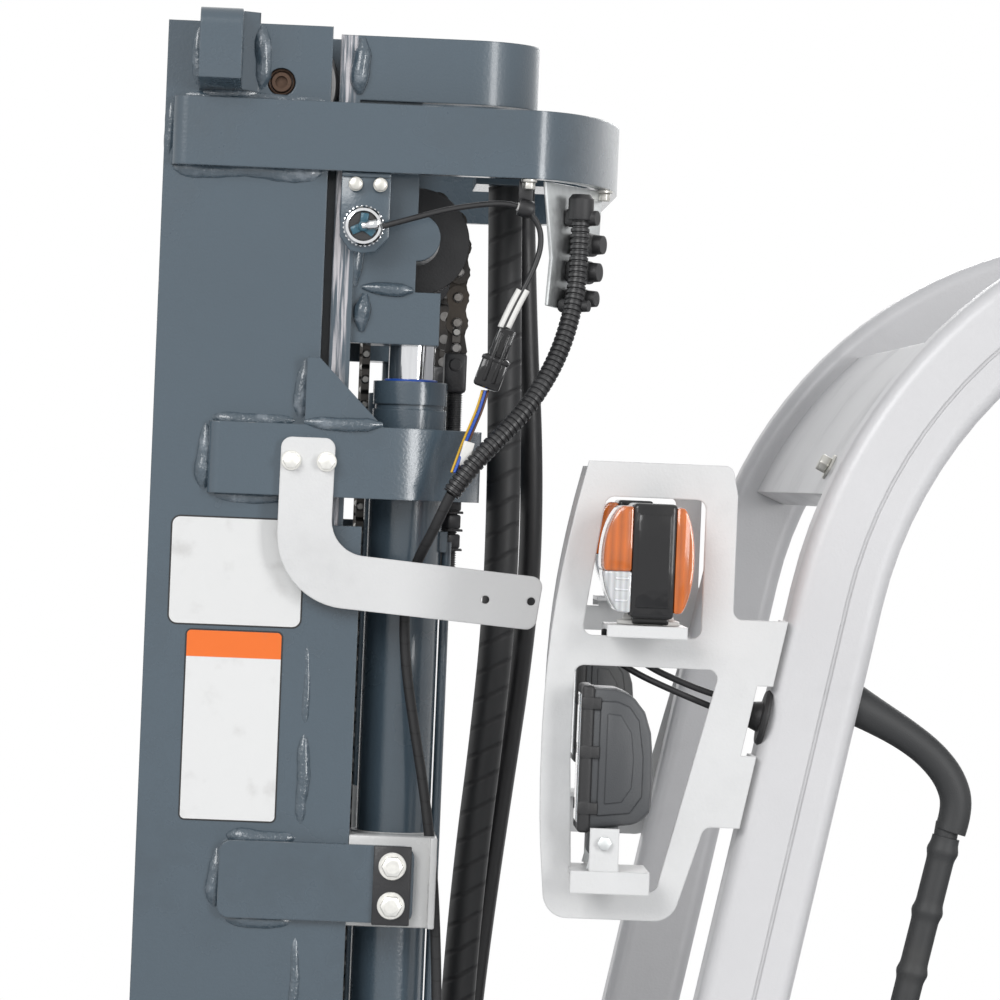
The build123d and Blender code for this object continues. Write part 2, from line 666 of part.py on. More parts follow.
# Pedals, hinged at the floor
pedal_length = 150.0
pedal_rise = 45.0
for name, pedal_y in (("accelerator_pedal", accelerator_y), ("brake_pedal", brake_y)):
    pedal_plane = Plane(origin=(pedal_pivot_x, pedal_y, pedal_pivot_z), x_dir=(0, 1, 0),
                        z_dir=(-sin(radians(pedal_rise)), 0, cos(radians(pedal_rise))))
    with BuildPart() as pedal:
        with BuildSketch(pedal_plane):
            with Locations((0, -pedal_length / 2)):
                Rectangle(pedal_width, pedal_length)
        extrude(amount=10)
        barrel_y = (pedal_y - pedal_width / 2, pedal_y + pedal_width / 2)
        rod_y(pedal_pivot_x, pedal_pivot_z, pedal_barrel_radius, barrel_y)
        rod_y(pedal_pivot_x, pedal_pivot_z, pedal_pin_radius + running_clearance, barrel_y,
              mode=Mode.SUBTRACT)
    keep(pedal, name)

# Overhead guard: two bent side frames and the roof between them
guard_roof_z = guard_knee_z + guard_bend * tan(radians(90 - guard_rake) / 2) * cos(radians(guard_rake))
guard_corner_x = guard_knee_x - (guard_roof_z - guard_knee_z) * guard_slope
header_half_angle = 12.0
header_angle = 35.0
header_sheet = 30.0
roof_half_width = guard_y - guard_tube_width / 2
bend_x = guard_corner_x - guard_bend * tan(radians(90 - guard_rake) / 2)
bend_z = guard_roof_z - guard_bend
with BuildPart() as overhead_guard:
    for sign in (1, -1):
        with BuildLine(Plane.XZ.offset(-sign * guard_y)) as guard_path:
            FilletPolyline((guard_foot_x, guard_foot_z), (guard_corner_x, guard_roof_z),
                           (guard_rear_top_x, guard_roof_z), (guard_rear_foot_x, counterweight_top_z),
                           radius=[guard_bend, guard_rear_bend])
        start = guard_path.line @ 0
        with BuildSketch(Plane(origin=start, x_dir=(0, 1, 0), z_dir=guard_path.line % 0)):
            RectangleRounded(guard_tube_width, guard_tube_depth, 14)
            with Locations((sign * guard_tube_width / 2, groove_offset)):
                Rectangle(groove_depth * 2, groove_width, mode=Mode.SUBTRACT)
        sweep(path=guard_path.line)
    block((guard_foot_x - 200, guard_foot_x + 200), (-guard_y - 100, guard_y + 100),
          (guard_foot_z - 100, guard_foot_z), mode=Mode.SUBTRACT)
    block((guard_rear_foot_x - 200, guard_rear_foot_x + 200), (-guard_y - 100, guard_y + 100),
          (counterweight_top_z - 100, counterweight_top_z), mode=Mode.SUBTRACT)
    with BuildSketch(Plane.XZ.offset(-roof_half_width)) as header:
        with Locations((bend_x, bend_z)):
            Circle(guard_bend + header_sheet / 2)
            Circle(guard_bend - header_sheet / 2, mode=Mode.SUBTRACT)
        with BuildLine():
            reach = 2 * guard_bend
            low, high = radians(header_angle - header_half_angle), radians(header_angle + header_half_angle)
            Polyline((bend_x, bend_z), (bend_x + reach * cos(low), bend_z + reach * sin(low)),
                     (bend_x + reach * cos(high), bend_z + reach * sin(high)), close=True)
        make_face(mode=Mode.INTERSECT)
    extrude(header.sketch, amount=2 * roof_half_width)
    roof_front_x = bend_x
    roof_pitch = (roof_front_x - guard_rear_top_x - guard_rear_bend) / (roof_bar_count - 1)
    for index in range(roof_bar_count):
        bar_x = roof_front_x - index * roof_pitch
        block((bar_x - roof_bar_width / 2, bar_x + roof_bar_width / 2), (-roof_half_width, roof_half_width),
              (guard_roof_z - roof_bar_height / 2, guard_roof_z + roof_bar_height / 2))
keep(overhead_guard, "overhead_guard")

# Lamp brackets on the front pillars: a plate with two windows and a lipped shelf under each lamp
lamp_plate_y = guard_y + guard_tube_width / 2
lamp_plate = 4.0
lamp_stagger = 47.0
shelf_upper_z = 1656.0
shelf_lower_z = 1454.5
shelf_upper_x = (51.0, 117.0)
shelf_lower_x = (74.0, 139.0)
window_upper_z = (1646.0, 1760.5)
window_lower_z = (1436.0, 1621.0)
bracket_round = 8.0
bracket_foot_round = 20.0
bracket_bottom_z = 1412.0
bracket_top_z = 1789.5
bracket_low_z = 1491.0
notch_z = (1551.0, 1609.0)
bracket_high_z = 1663.0
notch_depth = 13.0
flange_y = guard_y - 12.0
lamp_y = lamp_plate_y + lamp_plate / 2
lamp_half_width = 42.0
work_pivot_x = 112.0
work_pivot_z = 1477.5
work_pin_radius = 5.0


def pillar_front(z):
    """X of the front pillar's front face at a height."""
    return guard_knee_x + (guard_knee_z - z) * guard_slope + guard_tube_depth / 2 / cos(radians(guard_rake))


def add_right_copy(left):
    """Add the right-hand copy of a left-hand lamp piece, which sits further back."""
    copy = mirror(left.part, about=Plane.XZ, mode=Mode.PRIVATE)
    with Locations((-lamp_stagger, 0, 0)):
        add(copy)


with BuildPart() as lamp_bracket:
    with BuildSketch(Plane.XZ.offset(-lamp_plate_y - lamp_plate)) as outline:
        with BuildLine():
            edge = Spline((135, bracket_top_z), (146.5, 1738.5), (160.5, 1648), (165, 1543), (163.5, 1487),
                          (160.5, 1449))
            Polyline(edge @ 1, (157, bracket_bottom_z), (52, bracket_bottom_z), (28, bracket_low_z),
                     (pillar_front(bracket_low_z), bracket_low_z), (pillar_front(notch_z[0]), notch_z[0]),
                     (pillar_front(notch_z[0]) + notch_depth, notch_z[0]),
                     (pillar_front(notch_z[1]) + notch_depth, notch_z[1]),
                     (pillar_front(notch_z[1]), notch_z[1]),
                     (pillar_front(bracket_high_z), bracket_high_z), (11, bracket_high_z), (11, 1765),
                     (16, bracket_top_z), edge @ 0)
        make_face()
        for corner, size in (((157, bracket_bottom_z), bracket_foot_round),
                             ((52, bracket_bottom_z), bracket_foot_round),
                             ((28, bracket_low_z), bracket_round), ((11, bracket_high_z), bracket_round),
                             ((16, bracket_top_z), bracket_round)):
            fillet(outline.vertices().sort_by_distance(corner)[0], size)
        with BuildSketch(mode=Mode.SUBTRACT) as windows:
            with BuildLine():
                Polyline((119.5, window_upper_z[1]), (37, window_upper_z[1]), (37, window_upper_z[0]),
                         (135.5, window_upper_z[0]), close=True)
            make_face()
            with BuildLine():
                Polyline((140, window_lower_z[1]), (20, window_lower_z[1]), (66, window_lower_z[0]),
                         (136, window_lower_z[0]), (140.5, 1544), close=True)
            make_face()
            fillet(windows.vertices(), bracket_round)
    extrude(amount=lamp_plate)
    block((22, 130), (lamp_plate_y - 20, lamp_plate_y + lamp_plate),
          (bracket_top_z - lamp_plate, bracket_top_z))
    for shelf_x, shelf_z, window_z in ((shelf_upper_x, shelf_upper_z, window_upper_z),
                                       (shelf_lower_x, shelf_lower_z, window_lower_z)):
        lip_y = lamp_y + lamp_half_width
        block(shelf_x, (lamp_y - lamp_half_width, lip_y), (shelf_z - lamp_plate, shelf_z))
        block(shelf_x, (lip_y - lamp_plate, lip_y), (window_z[0], shelf_z))
        block((shelf_x[0], shelf_x[1] - lamp_plate), (lamp_plate_y, lamp_plate_y + lamp_plate),
              (window_z[0] - lamp_plate, shelf_z))
    for ear_side in (1, -1):
        ear_y = lamp_y + ear_side * (lamp_half_width - 4)
        block((work_pivot_x - 12, work_pivot_x + 12), (ear_y - 2, ear_y + 2),
              (shelf_lower_z, work_pivot_z + 12))
        rod_y(work_pivot_x, work_pivot_z, work_pin_radius, (ear_y - ear_side * 12, ear_y))

with BuildPart() as lamp_brackets:
    add(lamp_bracket.part)
    add_right_copy(lamp_bracket)
    for low_z, high_z in ((bracket_low_z, notch_z[0]), (notch_z[1], bracket_high_z)):
        side_prism([(pillar_front(low_z), low_z), (pillar_front(low_z) + lamp_plate, low_z),
                    (pillar_front(high_z) + lamp_plate, high_z), (pillar_front(high_z), high_z)],
                   (flange_y, lamp_plate_y + lamp_plate))
keep(lamp_brackets, "lamp_brackets")

lamp_round = 8.0
lens_z = (1667.0, 1753.0)
lens_x = (56.0, 113.0)
lens_bulge = 9.0
lamp_case_x = (63.0, 99.0)
lamp_cap = 3.0
with BuildPart() as indicator_lamp:
    with BuildSketch(Plane.XZ.offset(-lamp_y - lamp_half_width)):
        lens_middle_z = (lens_z[0] + lens_z[1]) / 2
        with BuildLine():
            ThreePointArc((lens_x[1], lens_z[0]), (lens_x[1] + lens_bulge, lens_middle_z),
                          (lens_x[1], lens_z[1]))
            Line((lens_x[1], lens_z[1]), (lens_x[0], lens_z[1]))
            ThreePointArc((lens_x[0], lens_z[1]), (lens_x[0] - lens_bulge, lens_middle_z),
                          (lens_x[0], lens_z[0]))
            Line((lens_x[0], lens_z[0]), (lens_x[1], lens_z[0]))
        make_face()
    extrude(amount=2 * lamp_half_width)
    block(lamp_case_x, (lamp_y - lamp_half_width, lamp_y + lamp_half_width),
          (shelf_upper_z, lens_z[1] + lamp_cap))
with BuildPart() as indicator_lamps:
    add(indicator_lamp.part)
    add_right_copy(indicator_lamp)
keep(indicator_lamps, "indicator_lamps")

work_lamp_half = 26.0
work_lamp_x = (work_pivot_x - 38, work_pivot_x + 24)
work_lamp_z = (1484.0, 1606.0)
with BuildPart() as work_lamp_left:
    block(work_lamp_x, (lamp_y - lamp_half_width + 8, lamp_y + lamp_half_width - 8), work_lamp_z)
    lamp_edges = work_lamp_left.edges().filter_by(Axis.Y).group_by(Axis.X)
    fillet(lamp_edges[0], 3 * lamp_round)
    fillet(work_lamp_left.edges().filter_by(Axis.Y).group_by(Axis.X)[-1], lamp_round)
    block((work_pivot_x - 12, work_pivot_x + 12), (lamp_y - work_lamp_half, lamp_y + work_lamp_half),
          (work_pivot_z - 12, work_pivot_z + 24))
    rod_y(work_pivot_x, work_pivot_z, work_pin_radius + running_clearance,
          (lamp_y - work_lamp_half, lamp_y + work_lamp_half), mode=Mode.SUBTRACT)
keep(work_lamp_left, "work_lamp_left")

with BuildPart() as work_lamp_right:
    add_right_copy(work_lamp_left)
keep(work_lamp_right, "work_lamp_right")

# Grab handle behind the left front pillar
handle_radius = 13.0
handle_bend = 38.0
with BuildPart() as grab_handle:
    with BuildLine(Plane.XZ.offset(-guard_y)) as handle_path:
        pillar_back = guard_tube_depth / 2 / cos(radians(guard_rake)) - 4
        top_z, low_z = 1594.0, 1215.0
        top_x = guard_knee_x + (guard_knee_z - top_z) * guard_slope - pillar_back
        low_x = guard_knee_x + (guard_knee_z - low_z) * guard_slope - pillar_back
        FilletPolyline((top_x, top_z), (top_x - 78, top_z - 55), (low_x - 113, low_z + 47), (low_x, low_z),
                       radius=[handle_bend, handle_bend])
    with BuildSketch(Plane(origin=handle_path.line @ 0, z_dir=handle_path.line % 0)):
        Circle(handle_radius)
    sweep(path=handle_path.line)
    with BuildLine(Plane.XZ.offset(-guard_y)) as pillar_path:
        Line((guard_foot_x, guard_foot_z), (guard_knee_x, guard_knee_z))
    with BuildSketch(Plane(origin=pillar_path.line @ 0, x_dir=(0, 1, 0), z_dir=pillar_path.line % 0)):
        RectangleRounded(guard_tube_width, guard_tube_depth, 14)
    sweep(path=pillar_path.line, mode=Mode.SUBTRACT)
keep(grab_handle, "grab_handle")

# Outer mast: two channels, their ties, axle hangers, lifting lugs and tilt pins
mast_half = mast_width / 2
web_inner_y = mast_half - channel_web
flange_tip_y = mast_half - channel_flange
channel_rear_x = mast_front_x - channel_depth
inner_front_x = mast_front_x - inner_offset
inner_rear_x = inner_front_x - inner_depth
pocket = (inner_rear_x + flange_thickness, inner_front_x - flange_thickness)
roller_x = (pocket[0] + pocket[1]) / 2
roller_radius = (pocket[1] - pocket[0]) / 2 - 0.5
roller_z = 2101.0
roller_recess_radius = 12.0
roller_shaft_radius = 20.0
roller_width = 28.0
cylinder_x = mast_front_x - cylinder_setback
rear_chain_x = cylinder_x - chain_pitch_radius
front_chain_x = cylinder_x + chain_pitch_radius
top_tie_rear_x = mast_front_x - top_tie_reach
mid_tie_rear_x = mast_front_x - mid_tie_reach
mid_tie_front_x = mast_front_x - 48.0
tie_plate = 12.0
anchor_rod_radius = 7.0
anchor_block = 17.0
clamp_z = (1390.0, 1456.0)
clamp_plate = 8.0
clamp_plate_round = 10.0
clamp_plate_x = (cylinder_x - 18.5, mast_front_x - 71)
gusset_x = (mast_front_x - 129, mast_front_x - 197)
gusset_height = 57.0
gusset_flat = 11.0
cover_reach = 41.0
cover_top_z = 1726.0
mid_tie_corner = (90.0, 90.0)
low_tie_corner = (14.0, 14.0)
gland_block = 45.0
hose_plate_z = 2030.0
hose_plate = 10.0
top_tie_setback = 7.0


def tie_area(rear_x, front_x, half_width, corner):
    """Draw the area inside a tie's face: straight sides and a rear with elliptical corners."""
    centre_x, centre_y = rear_x + corner[0], half_width - corner[1]
    with BuildSketch() as area:
        with Locations(((centre_x + front_x) / 2, 0)):
            Rectangle(front_x - centre_x, 2 * half_width)
        with Locations((centre_x, 0)):
            Rectangle(2 * corner[0], 2 * centre_y)
        with Locations((centre_x, centre_y), (centre_x, -centre_y)):
            Ellipse(*corner)
    return area.sketch


def tie_band(z, height, rear_x, front_x, thickness, corner):
    """Add a bent tie that runs from one channel round the back to the other."""
    inner_corner = (corner[0] - thickness, corner[1] - thickness)
    with BuildSketch(Plane.XY.offset(z)) as band_outline:
        add(tie_area(rear_x, front_x, mast_half + thickness, corner))
        add(tie_area(rear_x + thickness, front_x + thickness, mast_half, inner_corner), mode=Mode.SUBTRACT)
        ends = band_outline.vertices().group_by(Axis.X)[-1].sort_by(Axis.Y)
        fillet([ends[0], ends[-1]], thickness * 0.8)
    extrude(band_outline.sketch, amount=height)


lug_x = (mast_front_x - lug_setback[0], mast_front_x - lug_setback[1])
lug_face_y = mast_half + lug_depth
lug_round = 14.0
lug_slant = 8.0
lug_flare = (14.0, 9.5)
with BuildPart() as lug:
    with BuildSketch(Plane.XY.offset(lug_bottom_z)):
        with BuildLine():
            Polyline((lug_x[0] - lug_flare[0], mast_half), (lug_x[0], mast_half + lug_flare[1]),
                     (lug_x[0], lug_face_y), (lug_x[1], lug_face_y), (lug_x[1], mast_half), close=True)
        make_face()
    extrude(amount=lug_top_z - lug_bottom_z)
    fillet(lug.edges().filter_by(Axis.X).group_by(Axis.Y)[-1].sort_by(Axis.Z)[-1], lug_round)
    with BuildSketch(Plane.YZ.offset(lug_x[0] - lug_flare[0])) as slant:
        with BuildLine():
            Polyline((mast_half, lug_bottom_z), (lug_face_y, lug_bottom_z),
                     (lug_face_y, lug_bottom_z + lug_slant), close=True)
        make_face()
    extrude(slant.sketch, amount=lug_x[1] - lug_x[0] + lug_flare[0], mode=Mode.SUBTRACT)
    rod_x(mast_half + lug_depth / 2, lug_hole_z, lug_hole_radius, lug_x, mode=Mode.SUBTRACT)

with BuildPart() as outer_mast:
    for sign in (1, -1):
        outer_y = sign * mast_half
        block((channel_rear_x, mast_front_x), (sign * web_inner_y, outer_y), (mast_bottom_z, mast_top_z))
        for flange_x in (channel_rear_x, mast_front_x - flange_thickness):
            block((flange_x, flange_x + flange_thickness), (sign * flange_tip_y, sign * web_inner_y),
                  (mast_bottom_z, mast_top_z))
        block((channel_rear_x, channel_rear_x + flange_thickness), (sign * flange_tip_y, sign * web_inner_y),
              (roller_z - roller_radius - 14, mast_top_z), mode=Mode.SUBTRACT)
        rod_y(roller_x, roller_z, roller_shaft_radius,
              (sign * web_inner_y, sign * (web_inner_y - roller_width - 8)))
        rod_y(roller_x, roller_z, roller_recess_radius, (sign * (mast_half - 8), outer_y), mode=Mode.SUBTRACT)
        tie_y = (outer_y, outer_y + sign * tie_plate)
        tie_top_z = mid_tie_z + mid_tie_height
        side_prism([(gusset_x[0], tie_top_z - 1), (gusset_x[0], tie_top_z + gusset_height),
                    (gusset_x[0] - gusset_flat, tie_top_z + gusset_height), (gusset_x[1], tie_top_z - 1)],
                   tie_y)
        block((channel_rear_x - cover_reach, channel_rear_x), (outer_y - sign * tie_plate, outer_y),
              (low_tie_z, cover_top_z))
        with BuildSketch(Plane.XZ.offset(-max(outer_y, outer_y + sign * clamp_plate))) as clamp_outline:
            with Locations(((clamp_plate_x[0] + clamp_plate_x[1]) / 2, (clamp_z[0] + clamp_z[1]) / 2)):
                RectangleRounded(clamp_plate_x[1] - clamp_plate_x[0], clamp_z[1] - clamp_z[0],
                                 clamp_plate_round)
        extrude(clamp_outline.sketch, amount=clamp_plate)
        hanger_y = (outer_y, outer_y + sign * hanger_plate)
        side_prism([(front_axle_x, front_axle_z + hanger_radius - 8), (channel_rear_x + 40, low_tie_z + 20),
                    (mast_front_x - 20, low_tie_z + 20), (mast_front_x - 20, mast_bottom_z + 20),
                    (channel_rear_x + 40, mast_bottom_z + 20),
                    (front_axle_x, front_axle_z - hanger_radius + 8)],
                   hanger_y)
        rod_y(front_axle_x, front_axle_z, hanger_radius, hanger_y)
        rod_y(front_axle_x, front_axle_z, axle_tube_radius + running_clearance, hanger_y,
              mode=Mode.SUBTRACT)
        block((mid_tie_rear_x, rear_chain_x + tie_thickness), (sign * (sheave_y - anchor_block),
              sign * (sheave_y + anchor_block)), (mid_tie_z + 5, mid_tie_z + 55))
        rod_z(rear_chain_x, sign * sheave_y, anchor_rod_radius + 0.3, (mid_tie_z, mid_tie_z + mid_tie_height),
              mode=Mode.SUBTRACT)
        for lug_side in (1, -1):
            tilt_lug_y = sign * tilt_y + lug_side * tilt_lug_inner
            block((tilt_pin_x - 22, mid_tie_rear_x), (tilt_lug_y, tilt_lug_y + lug_side * tilt_lug),
                  (tilt_pin_z - 26, tilt_pin_z + 26))
        rod_y(tilt_pin_x, tilt_pin_z, tilt_pin_radius,
              (sign * tilt_y - tilt_lug_inner, sign * tilt_y + tilt_lug_inner))
    add(lug.part)
    mirror(lug.part, about=Plane.XZ)
    tie_band(top_tie_z, top_tie_height, top_tie_rear_x, mast_front_x - top_tie_setback, tie_thickness,
             top_tie_corner)
    tie_band(mid_tie_z, mid_tie_height, mid_tie_rear_x, mid_tie_front_x, tie_plate, mid_tie_corner)
    tie_band(low_tie_z, low_tie_height, mid_tie_rear_x, mid_tie_front_x, tie_plate, low_tie_corner)
    block((cylinder_x - barrel_radius - 5, mast_front_x - flange_thickness), (-mast_half, mast_half),
          (mast_bottom_z, mast_bottom_z + base_plate))
    block((mid_tie_rear_x - 12, mid_tie_rear_x + 28), (120, 230),
          (low_tie_z + low_tie_height, low_tie_z + low_tie_height + 40))
    block((mid_tie_rear_x, mid_tie_rear_x + 24), (338, 362),
          (low_tie_z + low_tie_height, low_tie_z + low_tie_height + gland_block))
    block((top_tie_rear_x + tie_thickness - 1, top_tie_rear_x + 127), (120, 230),
          (hose_plate_z, hose_plate_z + hose_plate))
keep(outer_mast, "outer_mast")

with BuildPart() as outer_mast_rollers:
    roller_y = (web_inner_y - roller_width - 5, web_inner_y - 5)
    rod_y(roller_x, roller_z, roller_radius, roller_y)
    chamfer(outer_mast_rollers.edges().filter_by(GeomType.CIRCLE), 3)
    rod_y(roller_x, roller_z, roller_shaft_radius + running_clearance, roller_y, mode=Mode.SUBTRACT)
    mirror(about=Plane.XZ)
keep(outer_mast_rollers, "outer_mast_rollers")

# Flat bracket below the mid tie, with two free holes in its rear arm
j_thickness = 6.0
j_end_round = 9.0
j_inner_round = 30.0
j_outer_round = 62.0
j_face_y = mast_half + tie_plate
j_hole_radius = 3.5
j_hole_z = 1668.5
j_holes = ((mast_front_x - 288, j_hole_z), (mast_front_x - 327, j_hole_z))
j_bolts = ((mast_front_x - 119, 1780.0), (mast_front_x - 149, 1780.0))
with BuildPart() as j_bracket:
    with BuildSketch(Plane.XZ.offset(-j_face_y - j_thickness)) as j_outline:
        with BuildLine():
            Polyline((mast_front_x - 110, 1800), (mast_front_x - 156, 1800), (mast_front_x - 155, 1703.5),
                     (mast_front_x - 337, 1689), (mast_front_x - 331, 1644), (mast_front_x - 109, 1660.5),
                     close=True)
        make_face()
        by_x = j_outline.vertices().sort_by(Axis.X)
        inner_corner, outer_corner = by_x[3], by_x[5]
        fillet([corner for corner in by_x if corner not in (inner_corner, outer_corner)], j_end_round)
        fillet(j_outline.vertices().sort_by_distance((mast_front_x - 155, 1703.5))[0], j_inner_round)
        fillet(j_outline.vertices().sort_by_distance((mast_front_x - 109, 1660.5))[0], j_outer_round)
        with Locations(*j_holes):
            Circle(j_hole_radius, mode=Mode.SUBTRACT)
    extrude(amount=j_thickness)
keep(j_bracket, "j_bracket")

# Lift cylinders: barrels with their glands and feed pipes, and the chromed rods
barrel_bottom_z = mast_bottom_z + base_plate
pipe_radius = 4.0
pipe_x = cylinder_x - 37.0
pipe_z = (low_tie_z + low_tie_height + 20, mid_tie_z - 35)
piston_z = (240.0, 280.0)
gland_groove_z = (barrel_top_z - 24, barrel_top_z - 20)
with BuildPart() as lift_cylinder_barrels:
    rod_z(cylinder_x, cylinder_y, barrel_radius, (barrel_bottom_z, barrel_top_z))
    rod_z(cylinder_x, cylinder_y, barrel_radius + 1, gland_groove_z, mode=Mode.SUBTRACT)
    rod_z(cylinder_x, cylinder_y, barrel_radius - 2, gland_groove_z)
    rod_z(cylinder_x, cylinder_y, barrel_radius - barrel_wall,
          (barrel_bottom_z + 20, barrel_top_z - gland_height), mode=Mode.SUBTRACT)
    rod_z(cylinder_x, cylinder_y, rod_radius + running_clearance, (barrel_bottom_z + 20, barrel_top_z),
          mode=Mode.SUBTRACT)
    rod_z(pipe_x, cylinder_y, pipe_radius, pipe_z)
    for joint_z in pipe_z:
        block((pipe_x, cylinder_x - barrel_radius + 2), (cylinder_y - 9, cylinder_y + 9),
              (joint_z - 9, joint_z + 9))
    mirror(about=Plane.XZ)
keep(lift_cylinder_barrels, "lift_cylinder_barrels")

with BuildPart() as lift_cylinder_rods:
    rod_z(cylinder_x, cylinder_y, rod_radius, (piston_z[0], rod_block_z))
    rod_z(cylinder_x, cylinder_y, barrel_radius - barrel_wall - running_clearance, piston_z)
    mirror(about=Plane.XZ)
keep(lift_cylinder_rods, "lift_cylinder_rods")

# Inner mast: two I-section rails, top and bottom ties, rod blocks and sheave pins
inner_outer_y = web_inner_y - side_gap
inner_web_y = flange_tip_y - side_gap
inner_tip_y = inner_web_y - inner_web - 32.0
inner_tie_z = inner_top_z - inner_tie_height
rod_block_reach = 22.0
rod_block_front_x = cylinder_x + 40.0
rod_plate_y = (cylinder_y + 22, cylinder_y + 42)
sheave_pin_radius = 14.0
sheave_boss_radius = 20.0
sheave_flange = 4.0
sheave_half = sheave_width / 2 + sheave_flange
inner_tie_rear_x = inner_rear_x - inner_tie_reach
with BuildPart() as inner_mast:
    for sign in (1, -1):
        block((inner_rear_x, inner_front_x), (sign * (inner_web_y - inner_web), sign * inner_web_y),
              (inner_bottom_z, inner_top_z))
        for flange_x in (inner_rear_x, inner_front_x - flange_thickness):
            block((flange_x, flange_x + flange_thickness), (sign * inner_tip_y, sign * inner_outer_y),
                  (inner_bottom_z, inner_top_z))
        block((cylinder_x - rod_block_reach, rod_block_front_x),
              (sign * (cylinder_y - barrel_radius), sign * rod_plate_y[1]),
              (rod_block_z, rod_block_z + rod_block_height))
        block((cylinder_x, inner_rear_x), (sign * rod_plate_y[0], sign * rod_plate_y[1]),
              (rod_block_z, inner_tie_z))
        rod_y(cylinder_x, sheave_z, sheave_boss_radius, (sign * rod_plate_y[0], sign * rod_plate_y[1]))
        rod_y(cylinder_x, sheave_z, sheave_pin_radius,
              (sign * (sheave_y - sheave_half - 4), sign * rod_plate_y[0]))
    with BuildSketch(Plane.XY.offset(inner_tie_z)) as inner_tie:
        with Locations(((inner_tie_rear_x + inner_rear_x) / 2, 0)):
            Rectangle(inner_rear_x - inner_tie_rear_x, 2 * inner_outer_y)
        fillet(inner_tie.vertices().group_by(Axis.X)[0], inner_tie_corner)
        offset(amount=-tie_thickness, mode=Mode.SUBTRACT)
        with Locations((inner_rear_x - tie_thickness / 2, 0)):
            Rectangle(tie_thickness, 2 * (inner_outer_y - tie_thickness), mode=Mode.SUBTRACT)
    extrude(amount=inner_tie_height)
    block((inner_rear_x, inner_rear_x + flange_thickness), (-inner_tip_y, inner_tip_y),
          (inner_bottom_z, inner_bottom_z + 80))
keep(inner_mast, "inner_mast")

chain_core_radius = chain_pitch_radius - chain_thickness / 2
with BuildPart() as chain_sheaves:
    groove_y = (sheave_y - sheave_width / 2, sheave_y + sheave_width / 2)
    rod_y(cylinder_x, sheave_z, chain_core_radius - 0.5, groove_y)
    rod_y(cylinder_x, sheave_z, sheave_radius, (groove_y[0] - sheave_flange, groove_y[0]))
    rod_y(cylinder_x, sheave_z, sheave_radius, (groove_y[1], groove_y[1] + sheave_flange))
    rod_y(cylinder_x, sheave_z, sheave_pin_radius + running_clearance,
          (groove_y[0] - sheave_flange, groove_y[1] + sheave_flange), mode=Mode.SUBTRACT)
    mirror(about=Plane.XZ)
keep(chain_sheaves, "chain_sheaves")

# Leaf chains: the anchored rear run with its wrap round the sheave, and the front run
half_chain = chain_thickness / 2
chain_y = (sheave_y - chain_width / 2, sheave_y + chain_width / 2)
with BuildPart() as rear_chain_runs:
    rod_y(cylinder_x, sheave_z, chain_pitch_radius + half_chain, chain_y)
    rod_y(cylinder_x, sheave_z, chain_core_radius, chain_y, mode=Mode.SUBTRACT)
    block((cylinder_x - sheave_radius, cylinder_x + sheave_radius), chain_y,
          (sheave_z - sheave_radius, sheave_z), mode=Mode.SUBTRACT)
    block((rear_chain_x - half_chain, rear_chain_x + half_chain), chain_y, (chain_anchor_z, sheave_z))
    mirror(about=Plane.XZ)
keep(rear_chain_runs, "rear_chain_runs")

arm_z = (380.0, 420.0)
with BuildPart() as front_chain_runs:
    block((front_chain_x - half_chain, front_chain_x + half_chain), chain_y, (arm_z[1], sheave_z))
    mirror(about=Plane.XZ)
keep(front_chain_runs, "front_chain_runs")

nut_radius = 12.0
with BuildPart() as chain_anchors:
    rod_z(rear_chain_x, sheave_y, anchor_rod_radius, (mid_tie_z - 60, chain_anchor_z - 20))
    block((rear_chain_x - 8, rear_chain_x + 8), (sheave_y - 13, sheave_y + 13),
          (chain_anchor_z - 32, chain_anchor_z))
    for nut_z in (mid_tie_z - 9, mid_tie_z - 25):
        with BuildSketch(Plane.XY.offset(nut_z)):
            with Locations((rear_chain_x, sheave_y)):
                RegularPolygon(nut_radius, 6)
        extrude(amount=14)
    mirror(about=Plane.XZ)
keep(chain_anchors, "chain_anchors")

# Tilt cylinders, drawn along the line between their two pins
tilt_run = hypot(tilt_pin_x - tilt_pivot_x, tilt_pin_z - tilt_pivot_z)
tilt_angle = degrees(atan2(tilt_pin_z - tilt_pivot_z, tilt_pin_x - tilt_pivot_x))
tilt_barrel_length = 270.0
tilt_bore = 23.0


def tilt_plane(distance):
    """Give the cross plane of the left tilt cylinder, that far from its pivot."""
    along = (cos(radians(tilt_angle)), 0, sin(radians(tilt_angle)))
    return Plane(origin=(tilt_pivot_x + distance * along[0], tilt_y, tilt_pivot_z + distance * along[2]),
                 x_dir=(0, 1, 0), z_dir=along)


def tilt_bar(radius, start, end, mode=Mode.ADD):
    """Add a round bar along the left tilt cylinder."""
    with BuildSketch(tilt_plane(start)) as section:
        Circle(radius)
    extrude(section.sketch, amount=end - start, mode=mode)


eye_y = (tilt_y - tilt_eye_width / 2, tilt_y + tilt_eye_width / 2)
with BuildPart() as tilt_cylinder_barrels:
    rod_y(tilt_pivot_x, tilt_pivot_z, tilt_eye_radius, eye_y)
    tilt_bar(tilt_barrel_radius, tilt_eye_radius + 6, tilt_barrel_length)
    tilt_bar(tilt_barrel_radius * 0.6, tilt_eye_radius - 6, tilt_eye_radius + 6)
    rod_y(tilt_pivot_x, tilt_pivot_z, tilt_pin_radius + running_clearance, eye_y, mode=Mode.SUBTRACT)
    tilt_bar(tilt_bore, tilt_eye_radius + 20, tilt_barrel_length - 25, mode=Mode.SUBTRACT)
    tilt_bar(tilt_rod_radius + running_clearance, tilt_barrel_length - 25, tilt_barrel_length,
             mode=Mode.SUBTRACT)
    mirror(about=Plane.XZ)
keep(tilt_cylinder_barrels, "tilt_cylinder_barrels")

